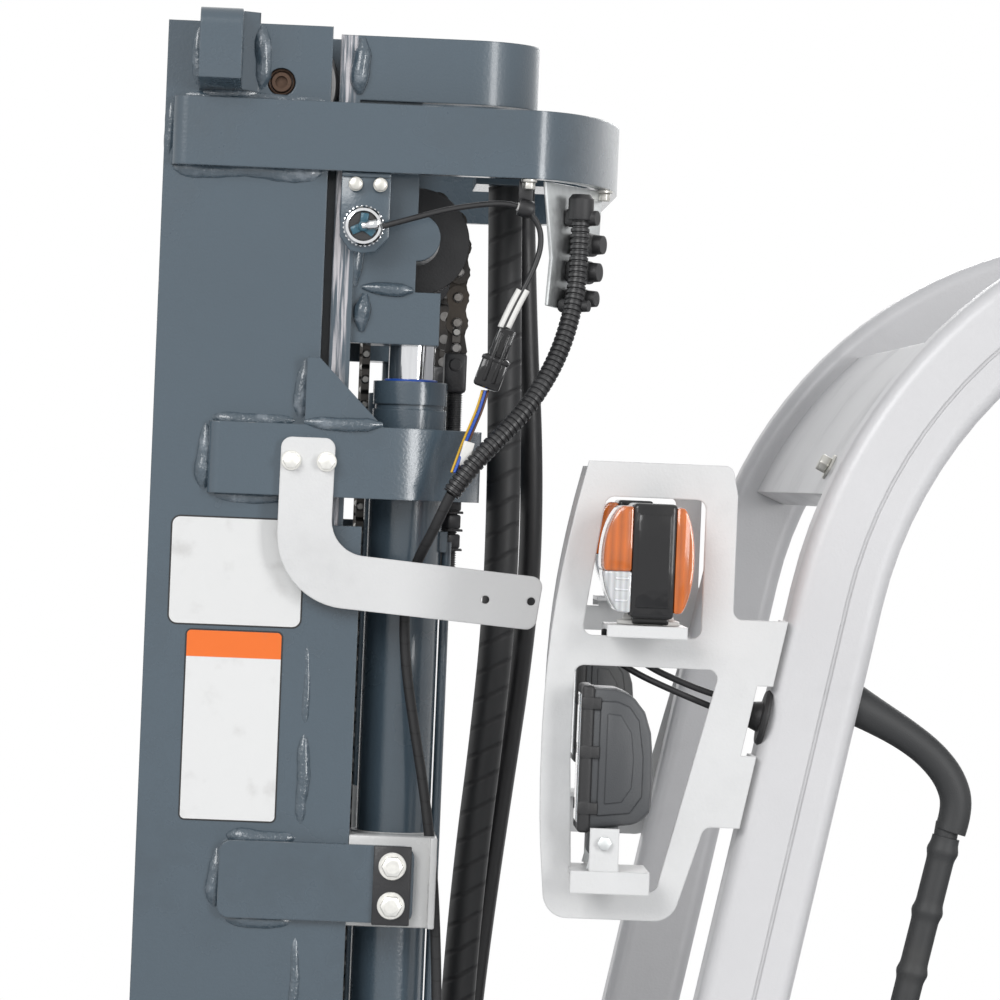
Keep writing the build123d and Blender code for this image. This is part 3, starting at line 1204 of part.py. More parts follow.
piston_place = tilt_barrel_length / 2
with BuildPart() as tilt_cylinder_rods:
    tilt_bar(tilt_rod_radius, piston_place, tilt_run - tilt_eye_radius + 4)
    tilt_bar(tilt_bore - running_clearance, piston_place, piston_place + 25)
    rod_y(tilt_pin_x, tilt_pin_z, tilt_eye_radius, eye_y)
    rod_y(tilt_pin_x, tilt_pin_z, tilt_pin_radius + tilt_eye_slack, eye_y, mode=Mode.SUBTRACT)
    mirror(about=Plane.XZ)
keep(tilt_cylinder_rods, "tilt_cylinder_rods")

# Fork carriage with its roller brackets and chain arms
bar_back_x = fork_face_x - fork_thickness - 0.5 - carriage_bar
bar_front_x = bar_back_x + carriage_bar
carriage_rear_x = pocket[0] + 13.0
carriage_z = (190.0, 540.0, 600.0)
carriage_roller_z = (240.0, 540.0)
carriage_roller_y = (inner_tip_y + 4, inner_web_y - inner_web - 3)
upper_bar_top_z = upper_bar_z + carriage_bar_height
hook_gap = 1.0
hook_depth = 19.0
hook_lip = 15.0
with BuildPart() as fork_carriage:
    for bar_z in (lower_bar_z, upper_bar_z):
        block((bar_back_x, bar_front_x), (-carriage_width / 2, carriage_width / 2),
              (bar_z, bar_z + carriage_bar_height))
    for sign in (1, -1):
        plate_y = (sign * carriage_plate_y, sign * (carriage_plate_y + carriage_plate))
        side_prism([(carriage_rear_x, carriage_z[0]), (bar_back_x, carriage_z[0]),
                    (bar_back_x, carriage_z[1]), (bar_back_x - 40, carriage_z[1]),
                    (bar_back_x - 40, carriage_z[2]),
                    (carriage_rear_x, carriage_z[2])], plate_y)
        for stub_z in carriage_roller_z:
            rod_y(roller_x, stub_z, roller_shaft_radius, (plate_y[1], sign * carriage_roller_y[1]))
            rod_y(roller_x, stub_z, roller_radius - 0.5,
                  (sign * carriage_roller_y[0], sign * carriage_roller_y[1]))
        block((front_chain_x - half_chain, carriage_rear_x + 10),
              (sign * (carriage_plate_y + 10), sign * (inner_tip_y - side_gap)), arm_z)
keep(fork_carriage, "fork_carriage")

with BuildPart() as load_backrest:
    post = 30.0
    backrest_x = (bar_back_x + 2, bar_back_x + 2 + backrest_bar)
    half_span = carriage_width / 2
    rail_low_z = upper_bar_top_z + 70
    for sign in (1, -1):
        block(backrest_x, (sign * (half_span - post), sign * half_span), (upper_bar_top_z, backrest_top_z))
    for rail_z in (rail_low_z, backrest_top_z - backrest_bar):
        block(backrest_x, (-half_span, half_span), (rail_z, rail_z + backrest_bar))
    bar_pitch = 2 * (half_span - post) / (backrest_bar_count + 1)
    for index in range(backrest_bar_count):
        bar_y = -half_span + post + (index + 1) * bar_pitch
        block((backrest_x[0] + 4, backrest_x[1] - 4), (bar_y - 9, bar_y + 9), (rail_low_z, backrest_top_z))
keep(load_backrest, "load_backrest")

fork_back_x = fork_face_x - fork_thickness
fork_top_z = upper_bar_top_z + hook_gap + hook_depth
heel_round = 30.0
for side, sign in (("left", 1), ("right", -1)):
    fork_y = (sign * fork_spacing / 2 - fork_width / 2, sign * fork_spacing / 2 + fork_width / 2)
    with BuildPart() as fork:
        with BuildSketch(Plane.XZ.offset(-fork_y[1])) as fork_side:
            with BuildLine():
                Polyline((fork_back_x, fork_clearance_z), (fork_tip_x, fork_clearance_z),
                         (fork_tip_x, fork_clearance_z + fork_tip_thickness),
                         (fork_face_x + fork_length * 0.45, fork_clearance_z + fork_thickness),
                         (fork_face_x, fork_clearance_z + fork_thickness), (fork_face_x, fork_top_z),
                         (fork_back_x, fork_top_z), close=True)
            make_face()
            fillet(fork_side.vertices().sort_by_distance((fork_back_x, fork_clearance_z))[0], heel_round)
        extrude(amount=fork_width)
        tip_edges = fork.edges().filter_by(Axis.Z).group_by(Axis.X)[-1]
        fillet(tip_edges, fork_width * 0.3)
        lip_x = (bar_back_x - 1.5 - hook_lip, bar_back_x - 1.5)
        block((lip_x[0], fork_back_x), fork_y, (upper_bar_top_z + hook_gap, fork_top_z))
        block(lip_x, fork_y, (upper_bar_top_z - 25, fork_top_z))
        block((lip_x[0], fork_back_x), fork_y, (lower_bar_z - hook_gap - hook_depth, lower_bar_z - hook_gap))
        block(lip_x, fork_y, (lower_bar_z - hook_gap - hook_depth, lower_bar_z + 20))
    keep(fork, f"fork_{side}")

# Height sensor on its bracket under the top tie
sensor_face_y = mast_half + 8.0
sensor_x = mast_front_x - 172.0
sensor_z = 1981.0
sensor_radius = 15.0
sensor_ring_radius = 18.0
sensor_ring = 6.0
sensor_plate = 4.0
sensor_gland = 5.0
sensor_bolts = ((mast_front_x - 166, 2017.0), (mast_front_x - 187, 2017.0))
with BuildPart() as height_sensor:
    block((mast_front_x - 194, mast_front_x - 152), (sensor_face_y - sensor_plate, sensor_face_y),
          (1958, top_tie_z))
    rod_y(sensor_x, sensor_z, sensor_radius, (sensor_face_y - 14, sensor_face_y + 2 * sensor_ring))
    rod_y(sensor_x, sensor_z, sensor_ring_radius, (sensor_face_y, sensor_face_y + sensor_ring))
    gland_y = sensor_face_y + sensor_ring
    block((sensor_x - 16, sensor_x), (gland_y, gland_y + 2 * sensor_gland),
          (sensor_z - sensor_gland, sensor_z + sensor_gland))
keep(height_sensor, "height_sensor")

# Harness plate, plugs and gland under the tie's corner, and the in-line connector
harness_plate = ((170.0, 362.0), (120.0, 262.0), (124.0, 260.0), (174.0, 360.0))
harness_z = 1916.0
connector_z = (1846.0, 1900.0)
connector_x = 211.0
connector_y = 372.0
with BuildPart() as harness_fittings:
    with BuildSketch(Plane.XY.offset(harness_z)):
        with BuildLine():
            Polyline(*harness_plate, close=True)
        make_face()
    extrude(amount=top_tie_z - harness_z)
    block((122, 146), (285, 318), (1922, 1992))
    block((131, 153), (322, 354), (2000, 2020))
    block((connector_x - 17, connector_x + 17), (connector_y - 11, connector_y + 11), connector_z)
keep(harness_fittings, "harness_fittings")

# Cords held by the mast, as round tubes along hand-laid routes
def cord_radii(points):
    """Give each corner the largest radius that its two runs allow."""
    radii = []
    for before, corner, after in zip(points, points[1:], points[2:]):
        first = Vector(*corner) - Vector(*before)
        second = Vector(*after) - Vector(*corner)
        turn = radians(first.get_angle(second))
        radii.append(0.45 * min(first.length, second.length) / tan(turn / 2))
    return radii


def cord(points, diameter):
    """Add a tube along a route, and print its bends and its length."""
    radii = cord_radii(points)
    with BuildLine() as route:
        FilletPolyline(*points, radius=radii)
    path = route.wires()[0]
    with BuildSketch(Plane(origin=path @ 0, z_dir=path % 0)) as section:
        Circle(diameter / 2)
    sweep(section.sketch, path=path)
    print(f"cord {diameter} mm: length {path.length:.0f}, tightest bend {min(radii):.0f}")


sensor_lead = 5.0
sensor_route = [(312, 384, 1981), (290, 383, 1988), (258, 379, 1998), (228, 374, 2004), (206, 371, 2006),
                (189, 369, 2001), (178, 368, 1988), (176, 368, 1971), (181, 369, 1953), (189, 370, 1935),
                (198, 371, 1917), (205, 372, 1900)]
wire_route = [(219, 372, 1846), (222, 374, 1833), (228, 379, 1817), (234, 386, 1802), (239, 392, 1787),
              (243, 395, 1775)]
with BuildPart() as sensor_cable:
    cord(sensor_route, sensor_lead)
    cord(wire_route, sensor_lead)
keep(sensor_cable, "sensor_cable")

conduit_diameter = 18.0
tail_diameter = 9.0
conduit_route = [(142, 337, 2000), (142, 339, 1968), (144, 346, 1927), (157, 362, 1877), (182, 380, 1833),
                 (208, 391, 1804), (229, 396, 1781), (245, 397, 1757)]
tail_route = [(245, 397, 1757), (252, 393, 1741), (259, 382, 1724), (267, 366, 1707), (275, 353, 1686),
              (280, 347, 1656), (277, 346, 1610), (267, 347, 1555), (256, 349, 1500), (247, 350, 1440),
              (241, 351, 1370), (237, 350, 1290), (236, 351, 1190), (233, 350, 1080), (235, 349, 960),
              (232, 350, 840), (233, 351, 730), (230, 350, 630), (230, 350, 545)]
with BuildPart() as sensor_conduit:
    cord(conduit_route, conduit_diameter)
keep(sensor_conduit, "sensor_conduit")

with BuildPart() as mast_hoses:
    cord([(203, 200, 2030), (199, 200, 1910), (194, 201, 1780), (193, 200, 1655), (200, 198, 1540),
          (210, 199, 1430), (217, 200, 1300), (219, 200, 1150), (215, 201, 1000), (214, 199, 850),
          (219, 200, 720), (225, 200, 620), (226, 200, 540)], 30.0)
    cord([(185, 150, 2030), (178, 150, 1910), (168, 151, 1800), (165, 150, 1690), (171, 149, 1600),
          (181, 150, 1510), (193, 151, 1400), (203, 150, 1290), (209, 149, 1170), (207, 150, 1040),
          (204, 151, 900), (210, 150, 760), (222, 150, 640), (224, 150, 540)], 20.0)
    cord(tail_route, tail_diameter)
keep(mast_hoses, "mast_hoses")

# Bolt heads of the mast's brackets, and the clamps that hold the lift cylinders
bolt_head = 6.0
bolt_radius = 8.0


def bolt(x, z, face_y, side=1):
    """Add a hexagon bolt head on a face that looks sideways."""
    with BuildSketch(Plane(origin=(x, face_y, z), x_dir=(1, 0, 0), z_dir=(0, side, 0))) as head:
        RegularPolygon(bolt_radius, 6)
    extrude(head.sketch, amount=bolt_head)


clamp_ring = 5.0
clamp_mouth = 24.0
clamp_mouth_reach = barrel_radius + clamp_ring + 5
clamp_bolts_z = (1405.0, 1438.0)
with BuildPart() as mast_fasteners:
    for sign in (1, -1):
        ring_y = sign * cylinder_y
        rod_z(cylinder_x, ring_y, barrel_radius + clamp_ring, (clamp_z[0] - 8, clamp_z[1] + 8))
        block((cylinder_x - 9, cylinder_x + 9), (ring_y, sign * mast_half), clamp_z)
        rod_z(cylinder_x, ring_y, barrel_radius + 0.2, (clamp_z[0] - 8, clamp_z[1] + 8), mode=Mode.SUBTRACT)
        block((cylinder_x - clamp_mouth_reach, cylinder_x - barrel_radius / 2),
              (ring_y - clamp_mouth / 2, ring_y + clamp_mouth / 2), (clamp_z[0] - 8, clamp_z[1] + 8),
              mode=Mode.SUBTRACT)
        for bolt_z in clamp_bolts_z:
            bolt(cylinder_x, bolt_z, sign * (mast_half + clamp_plate), sign)
        bolt(roller_x, roller_z, sign * (mast_half - 8), sign)
    for x, z in j_bolts:
        bolt(x, z, j_face_y + j_thickness)
    for x, z in sensor_bolts:
        bolt(x, z, sensor_face_y)
keep(mast_fasteners, "mast_fasteners")
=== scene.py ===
"""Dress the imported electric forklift: finishes, fine pieces, cords, seat, camera and stage."""
import math

import bmesh
import bpy
from bpy.props import FloatProperty, FloatVectorProperty, PointerProperty
from bpy.types import Operator, Panel, PropertyGroup
from mathutils import Matrix, Vector


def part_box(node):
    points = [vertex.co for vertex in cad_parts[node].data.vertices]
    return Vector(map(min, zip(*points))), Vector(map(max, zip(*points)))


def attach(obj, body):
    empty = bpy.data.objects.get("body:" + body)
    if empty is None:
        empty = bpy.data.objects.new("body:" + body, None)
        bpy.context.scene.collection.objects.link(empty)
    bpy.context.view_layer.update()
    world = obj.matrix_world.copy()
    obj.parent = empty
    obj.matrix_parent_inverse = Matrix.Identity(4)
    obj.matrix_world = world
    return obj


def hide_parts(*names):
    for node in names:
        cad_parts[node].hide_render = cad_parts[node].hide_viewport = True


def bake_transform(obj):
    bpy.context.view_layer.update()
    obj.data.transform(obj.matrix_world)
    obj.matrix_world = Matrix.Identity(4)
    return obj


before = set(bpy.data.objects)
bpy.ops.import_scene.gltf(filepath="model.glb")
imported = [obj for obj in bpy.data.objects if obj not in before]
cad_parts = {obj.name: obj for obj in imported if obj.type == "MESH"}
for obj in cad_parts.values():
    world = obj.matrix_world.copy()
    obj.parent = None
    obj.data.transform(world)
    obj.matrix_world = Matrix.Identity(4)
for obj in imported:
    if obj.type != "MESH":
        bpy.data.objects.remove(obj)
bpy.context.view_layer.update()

bl_info = {
    "name": "Electric forklift",
    "version": (1, 0, 0),
    "blender": (4, 5, 0),
    "location": "View3D > Sidebar > Forklift",
    "description": "Dresses the solids of an electric forklift with finishes and fine pieces",
    "category": "Object",
}

# Directions: forward, to the driver's left, and up
FORWARD = Vector((1, 0, 0))
LEFT = Vector((0, 1, 0))
UP = Vector((0, 0, 1))


def metres(*points):
    """Points given in millimetres, as tuples in metres."""
    return [tuple(part / 1000 for part in point) for point in points]


# Measures are in metres, apart from points that pass through metres().
# An edge that turns by more than this is sharp
SHARP_ANGLE = math.radians(30)
# Bolts: height of a washer, and a hexagon's corner radius for every half of its width across flats
WASHER_HEIGHT = 0.0022
HEXAGON_CORNER = 1.155
# Faces of the mast that small pieces sit on
MAST_FACE_Y = 0.365
SENSOR_FACE_Y = 0.373
# Leaf chain: pitch, pins built, middle across the truck, pin radius, and height of its rear anchor's top
CHAIN_PITCH = 0.0222
CHAIN_PINS = 12
CHAIN_Y = 0.25
PIN_RADIUS = 0.0046
CHAIN_FOOT = 1.88
# Middle of a sheave, and the radius at which the chain runs round it
SHEAVE = Vector((0.2815, 0.25, 1.975))
CHAIN_RADIUS = 0.039
REAR_CHAIN_X = SHEAVE.x - CHAIN_RADIUS
FRONT_CHAIN_X = SHEAVE.x + CHAIN_RADIUS
# Middle of a lift cylinder
CYLINDER_X = 0.2815
CYLINDER_Y = 0.3
# Middle of the left lamps across the truck, and how much further back the right ones stand
LAMP_Y = 0.502
LAMP_STAGGER = 0.047
# Where the pedals hinge: distance forward and height
PEDAL_X = -0.04
PEDAL_Z = 0.531
# Seat cushions: cell size of the cloth, how far it may swell, and the frames it swells for
SEAT_CELL = 0.007
SEAT_SWELL = 0.024
SEAT_FRAMES = 20

# Cord routes, from the solids' routes
SENSOR_ROUTE = metres(
    (312, 384, 1981), (290, 383, 1988), (258, 379, 1998), (228, 374, 2004), (206, 371, 2006),
    (189, 369, 2001), (178, 368, 1988), (176, 368, 1971), (181, 369, 1953), (189, 370, 1935),
    (198, 371, 1917), (205, 372, 1900))
WIRE_ROUTE = metres(
    (219, 372, 1846), (222, 374, 1833), (228, 379, 1817), (234, 386, 1802), (239, 392, 1787),
    (243, 395, 1775))
CONDUIT_ROUTE = metres(
    (142, 337, 2000), (142, 339, 1968), (144, 346, 1927), (157, 362, 1877), (182, 380, 1833),
    (208, 391, 1804), (229, 396, 1781), (245, 397, 1757))
TAIL_ROUTE = metres(
    (245, 397, 1757), (252, 393, 1741), (259, 382, 1724), (267, 366, 1707), (275, 353, 1686),
    (280, 347, 1656), (277, 346, 1610), (267, 347, 1555), (256, 349, 1500), (247, 350, 1440),
    (241, 351, 1370), (237, 350, 1290), (236, 351, 1190), (233, 350, 1080), (235, 349, 960),
    (232, 350, 840), (233, 351, 730), (230, 350, 630), (230, 350, 545))
LIFT_HOSE_ROUTE = metres(
    (203, 200, 2030), (199, 200, 1910), (194, 201, 1780), (193, 200, 1655), (200, 198, 1540),
    (210, 199, 1430), (217, 200, 1300), (219, 200, 1150), (215, 201, 1000), (214, 199, 850),
    (219, 200, 720), (225, 200, 620), (226, 200, 540))
RETURN_HOSE_ROUTE = metres(
    (185, 150, 2030), (178, 150, 1910), (168, 151, 1800), (165, 150, 1690), (171, 149, 1600),
    (181, 150, 1510), (193, 151, 1400), (203, 150, 1290), (209, 149, 1170), (207, 150, 1040),
    (204, 151, 900), (210, 150, 760), (222, 150, 640), (224, 150, 540))
# Lamp leads behind the left bracket
UPPER_LEAD_ROUTE = metres(
    (96, 490, 1650), (97, 486, 1642), (92, 482, 1631), (76, 480, 1620), (55, 480, 1611), (33, 482, 1603),
    (11, 483, 1597), (-8, 482, 1592))
LOWER_LEAD_ROUTE = metres(
    (116, 494, 1650), (116, 489, 1640), (107, 485, 1626), (86, 483, 1614), (62, 482, 1604), (36, 481, 1594),
    (11, 481, 1585), (-8, 481, 1578))
# The grab handle's flared elbow and its grip
HANDLE_ROUTE = metres(
    (-78, 470, 1605), (-95, 470, 1596), (-113, 470, 1586.8), (-139.1, 470, 1572.7), (-162, 470, 1556.5),
    (-179, 470, 1536.5), (-186, 470, 1513), (-180, 470, 1493))
GRIP_ROUTE = metres(
    (-176.8, 470, 1488.4), (-169.1, 470, 1452.2), (-155, 470, 1385), (-141, 470, 1318), (-133, 470, 1280),
    (-127, 470, 1264), (-113, 470, 1255), (-70, 470, 1238), (-30, 470, 1221))

# Weld beads in millimetres, each with its radius, its place across the truck, and (x, z) points
MAST_BEADS = (
    (6.2, 362, (420, 2148), (418.5, 2120), (420, 2092)),
    (4.2, 362, (473.5, 2148), (474.5, 2120), (473.5, 2092)),
    (5.5, 362, (420, 2089.5), (474, 2089.5)),
    (5, 362, (415, 2088), (406, 2087.5)),
    (6.2, 362, (492, 2024.5), (362, 2025)),
    (3.6, 362, (495.5, 2028), (495.5, 2083)),
    (4, 362, (488, 2086.5), (362, 2086.5)),
    (5.8, 362, (454.5, 1751), (455.5, 1780), (454.5, 1810)),
    (5, 362, (452, 1813), (376, 1813)),
    (5.2, 362, (374, 1813), (374.5, 1845), (372.5, 1868)),
    (4.5, 362, (449, 1748), (363, 1748)),
    (3, 362, (361, 1632), (360, 1550)),
    (4.5, 362, (360, 1550), (361, 1466)),
    (3.6, 362, (361, 1380), (360, 1000), (361, 460)),
    (5.6, 362, (431, 1396), (431.8, 1424), (431, 1450)),
    (6, 362, (424, 1458.5), (362, 1458.5)),
    (5, 362, (424, 1388), (362, 1388)),
    (4.2, 376.5, (371.5, 1812.5), (304, 1812.5)),
)
INNER_BEADS = (
    (5.6, 350, (336, 2094), (335, 2143)),
    (5, 342.5, (326, 1892), (325, 1926)),
    (4.2, 342.5, (327, 1930), (284, 1930)),
    (5, 342.5, (334, 1930), (333, 2020)),
)


def arithmetic(operation, swapped=False):
    """A method of Value that adds one Math node."""
    def method(self, other=0.0):
        first, second = (other, self) if swapped else (self, other)
        return self.finish.node("ShaderNodeMath", {"operation": operation}, {0: first, 1: second})
    return method


class Value:
    """A shader socket whose arithmetic adds Math nodes to its finish."""

    def __init__(self, finish, socket):
        self.finish = finish
        self.socket = socket

    __add__ = arithmetic("ADD")
    __radd__ = arithmetic("ADD", True)
    __sub__ = arithmetic("SUBTRACT")
    __rsub__ = arithmetic("SUBTRACT", True)
    __mul__ = arithmetic("MULTIPLY")
    __abs__ = arithmetic("ABSOLUTE")
    fraction = arithmetic("FRACT")

    def repeat(self, pitch):
        """A saw from 0 to 1 that starts again after every pitch."""
        return (self * (1 / pitch)).fraction()


class Finish:
    """One procedural material, with one method that makes its nodes."""

    def __init__(self, name):
        self.material = bpy.data.materials.new(name)
        self.material.use_nodes = True
        self.tree = self.material.node_tree
        self.tree.nodes.clear()
        self.place = self.node("ShaderNodeTexCoord", output="Object")

    def node(self, kind, settings=None, sockets=None, output=0):
        """Make a node, set it up, link or fill its sockets, and give one of its outputs."""
        made = self.tree.nodes.new(kind)
        for key, value in (settings or {}).items():
            setattr(made, key, value)
        for key, value in (sockets or {}).items():
            if isinstance(value, Value):
                self.tree.links.new(value.socket, made.inputs[key])
            else:
                made.inputs[key].default_value = value
        return Value(self, made.outputs[output])

    def noise(self, scale, detail=3.0, stretch=None):
        """Soft noise from 0 to 1, at a number of cells per metre."""
        where = self.place
        if stretch:
            where = self.node("ShaderNodeMapping", None, {"Vector": where, "Scale": stretch})
        return self.node("ShaderNodeTexNoise", None, {"Vector": where, "Scale": scale, "Detail": detail})

    def cells(self, scale, feature="F1"):
        """Distance to the nearest cell point, or to the cell's edge."""
        return self.node("ShaderNodeTexVoronoi", {"feature": feature}, {"Vector": self.place, "Scale": scale})

    def step(self, value, low, high):
        """0 below low and 1 above high, smooth between."""
        return self.node("ShaderNodeMapRange", {"interpolation_type": "SMOOTHSTEP"},
                         {"Value": value, "From Min": low, "From Max": high})

    def within(self, value, low, high, soft):
        """1 between two limits, 0 outside them."""
        return self.step(value, low, low + soft) * (1 - self.step(value, high - soft, high))

    def mix(self, factor, first, second):
        """Blend two colours."""
        return self.node("ShaderNodeMix", {"data_type": "RGBA"}, {0: factor, 6: first, 7: second}, output=2)

    def axis(self, name):
        """One Object coordinate, in metres."""
        return self.node("ShaderNodeSeparateXYZ", None, {"Vector": self.place}, output=name)

    def edges(self, radius):
        """1 on sharp edges within a radius, 0 on flat faces."""
        rounded = self.node("ShaderNodeBevel", {"samples": 4}, {"Radius": radius})
        sharp = self.node("ShaderNodeNewGeometry", output="Normal")
        turn = self.node("ShaderNodeVectorMath", {"operation": "DOT_PRODUCT"}, {0: rounded, 1: sharp},
                         output="Value")
        return self.step(1 - turn, 0.02, 0.25)

    def surface(self, colour, roughness, height, depth, rounding=0.0, **sockets):
        """Close the material with a Principled shader, a bump and softened edges."""
        sockets = {key.replace("_", " "): value for key, value in sockets.items()}
        sockets.update({"Base Color": colour, "Roughness": roughness})
        bump = {"Height": height, "Distance": depth}
        if rounding:
            bump["Normal"] = self.node("ShaderNodeBevel", {"samples": 4}, {"Radius": rounding})
        sockets["Normal"] = self.node("ShaderNodeBump", None, bump)
        shader = self.node("ShaderNodeBsdfPrincipled", None, sockets)
        end = self.tree.nodes.new("ShaderNodeOutputMaterial")
        self.tree.links.new(shader.socket, end.inputs["Surface"])
        return self.material


def rgba(colour, gain=1.0):
    """A colour with full alpha, made lighter or darker by gain."""
    return (*(min(1.0, channel * gain) for channel in colour), 1.0)


def grey(level):
    """A neutral colour."""
    return (level, level, level)


# Orange peel of sprayed paint: cells per metre, and bump depth
PEEL = 420.0
PEEL_DEPTH = 0.00018
# Clear coat's roughness on sprayed paint
COAT_ROUGHNESS = 0.14


def satin_paint(finish, colour, chip, grime, roughness, wear=0.35, rounding=0.002, coat=0.0):
    """Sprayed satin paint: orange peel, faint cloudiness, grime and worn edges."""
    cloud = finish.noise(6.0, 4.0)
    tone = finish.mix(cloud, rgba(colour, 0.9), rgba(colour, 1.08))
    dirt = finish.step(finish.noise(9.0, 6.0) + finish.noise(70.0, 2.0) * 0.3, 0.62, 0.98)
    dirty = finish.mix(dirt * grime, tone, rgba(colour, 0.45))
    worn = finish.edges(0.0016) * finish.step(finish.noise(45.0, 4.0), 0.6 - wear * 0.3, 0.72)
    peel = finish.noise(PEEL, 2.0) + cloud * 0.4
    return finish.surface(finish.mix(worn, dirty, rgba(chip)), roughness + dirt * 0.18 - cloud * 0.06, peel,
                          PEEL_DEPTH, rounding, Coat_Weight=coat, Coat_Roughness=COAT_ROUGHNESS)


def weld_paint(finish, colour):
    """Glossy paint over weld metal: crossing ripples, lumps, and pale patches painted into the colour as
    highlights.
    """
    lumps = finish.noise(150.0, 3.0) + finish.noise(420.0, 2.0) * 0.4
    # Pale patches painted into the colour are highlights that stand in for the welds' gloss; they are not
    # spatter.
    pale = finish.step(finish.noise(55.0, 4.0), 0.52, 0.74)
    tone = finish.mix(pale * 0.4, rgba(colour, 0.95), rgba((0.34, 0.38, 0.42)))
    return finish.surface(tone, 0.2 + pale * 0.14, lumps, 0.0016, Coat_Weight=0.7, Coat_Roughness=0.1)


def rubbed_paint(finish, colour, track):
    """Mast paint rubbed to bare steel by the rollers, along an upright track between two X limits."""
    cloud = finish.noise(6.0, 4.0)
    streak = finish.noise(7.0, 5.0, (70.0, 70.0, 3.0))
    rub = finish.within(finish.axis("X"), *track, 0.002) * finish.step(streak, 0.36, 0.62)
    paint = finish.mix(cloud, rgba(colour, 0.88), rgba(colour, 1.06))
    steel = finish.mix(streak, rgba((0.2, 0.19, 0.2)), rgba((0.62, 0.6, 0.62)))
    return finish.surface(finish.mix(rub, paint, steel), 0.3 + streak * 0.12, finish.noise(PEEL, 2.0) - rub,
                          PEEL_DEPTH, 0.002, Metallic=rub * 0.7, Coat_Weight=0.4,
                          Coat_Roughness=COAT_ROUGHNESS)


def bare_steel(finish, colour, roughness=0.32, streak=(60.0, 60.0, 4.0)):
    """Rolled steel with long rub marks and faint stains."""
    rub = finish.noise(9.0, 5.0, streak)
    stain = finish.step(finish.noise(14.0, 6.0), 0.52, 0.78)
    tone = finish.mix(rub, rgba(colour, 0.72), rgba(colour, 1.18))
    return finish.surface(finish.mix(stain * 0.5, tone, rgba((0.16, 0.13, 0.1))),
                          roughness + rub * 0.2 + stain * 0.2, rub, 0.00012, Metallic=0.9)


def chrome(finish):
    """Polished chrome with fine lengthwise scores."""
    score = finish.noise(40.0, 3.0, (12.0, 12.0, 0.6))
    return finish.surface(finish.mix(score, rgba((0.62, 0.63, 0.65)), rgba((0.8, 0.81, 0.82))),
                          0.07 + score * 0.08, score, 0.00003, Metallic=1.0)


def plated(finish, colour=(0.62, 0.61, 0.57), roughness=0.28):
    """Zinc-plated steel, slightly mottled."""
    mottle = finish.noise(160.0, 4.0)
    tone = finish.mix(mottle, rgba(colour, 0.78), rgba(colour, 1.12))
    return finish.surface(tone, roughness + mottle * 0.22, mottle, 0.00008, Metallic=0.95)


def moulded_plastic(finish, colour, roughness=0.5, grain=900.0, dusty=0.3):
    """Moulded plastic with a fine leather grain and a little dust."""
    grains = finish.cells(grain)
    dust = finish.step(finish.noise(12.0, 5.0), 0.55, 0.85)
    tone = finish.mix(dust * dusty, rgba(colour), rgba((0.2, 0.19, 0.17)))
    return finish.surface(tone, roughness + dust * 0.15, grains, 0.00012, 0.0015)


def rubber(finish, colour, roughness):
    """Soft black rubber with a dusty bloom."""
    bloom = finish.step(finish.noise(30.0, 5.0), 0.45, 0.85)
    tone = finish.mix(bloom, rgba(colour), rgba(colour, 2.1))
    return finish.surface(tone, roughness + bloom * 0.2, finish.noise(500.0, 2.0), 0.0001)


def cast_paint(finish, colour):
    """Thick paint over a sand casting: broad pits and a soft sheen."""
    sand = finish.noise(140.0, 5.0) + finish.noise(30.0, 3.0) * 0.8
    cloud = finish.noise(4.0, 4.0)
    dirt = finish.step(finish.noise(7.0, 6.0), 0.55, 0.85)
    clean = finish.mix(cloud, rgba(colour, 0.9), rgba(colour, 1.1))
    tone = finish.mix(dirt * 0.35, clean, rgba(colour, 0.45))
    worn = finish.edges(0.003) * finish.step(finish.noise(40.0, 4.0), 0.5, 0.7)
    return finish.surface(finish.mix(worn, tone, rgba(grey(0.26))), 0.45 + dirt * 0.2, sand, 0.0006)


def clear_lens(finish, colour, pitch):
    """Moulded lamp lens: fine upright flutes and a glossy skin, with a bright core and light and dark bands
    across the flutes painted into the colour as highlight and shade.
    """
    # The flutes' light and dark bands in the colour are painted highlight and shade.
    flute_and_glint = abs(finish.axis("Y").repeat(pitch) - 0.5) + abs(finish.axis("X").repeat(pitch) - 0.5) * 0.7
    depth = finish.noise(40.0, 2.0)
    tone = finish.mix(flute_and_glint + depth * 0.35, rgba(colour, 0.45), rgba(colour, 1.25))
    return finish.surface(tone, 0.12 + depth * 0.08, flute_and_glint, 0.0008, Coat_Weight=1.0, Coat_Roughness=0.04,
                          Subsurface_Weight=0.15, Subsurface_Radius=(0.004, 0.002, 0.001))


def spiral_hose(finish, slope, pitch):
    """Black hose under a wound guard: slanted shiny turns with dark gaps."""
    turn = (finish.axis("Z") + finish.axis("X") * slope).repeat(pitch)
    groove = finish.step(abs(turn - 0.5), 0.36, 0.48)
    scuff = finish.noise(60.0, 4.0)
    tone = finish.mix(groove, finish.mix(scuff, rgba((0.011, 0.011, 0.012)), rgba((0.02, 0.021, 0.022))),
                      rgba((0.007, 0.007, 0.008)))
    return finish.surface(tone, 0.42 + scuff * 0.2 + groove * 0.1, 1 - groove, 0.0005)


def taped_cable(finish, slope, pitch):
    """Cloth tape wound on a cable bundle, with raised edges."""
    lap = (finish.axis("Z") + finish.axis("Y") * slope).repeat(pitch)
    weave = finish.noise(900.0, 2.0)
    tone = finish.mix(finish.step(lap, 0.0, 0.12), rgba(grey(0.004)), rgba((0.016, 0.016, 0.017)))
    return finish.surface(tone, 0.5 + weave * 0.2, lap + weave * 0.15, 0.0008)


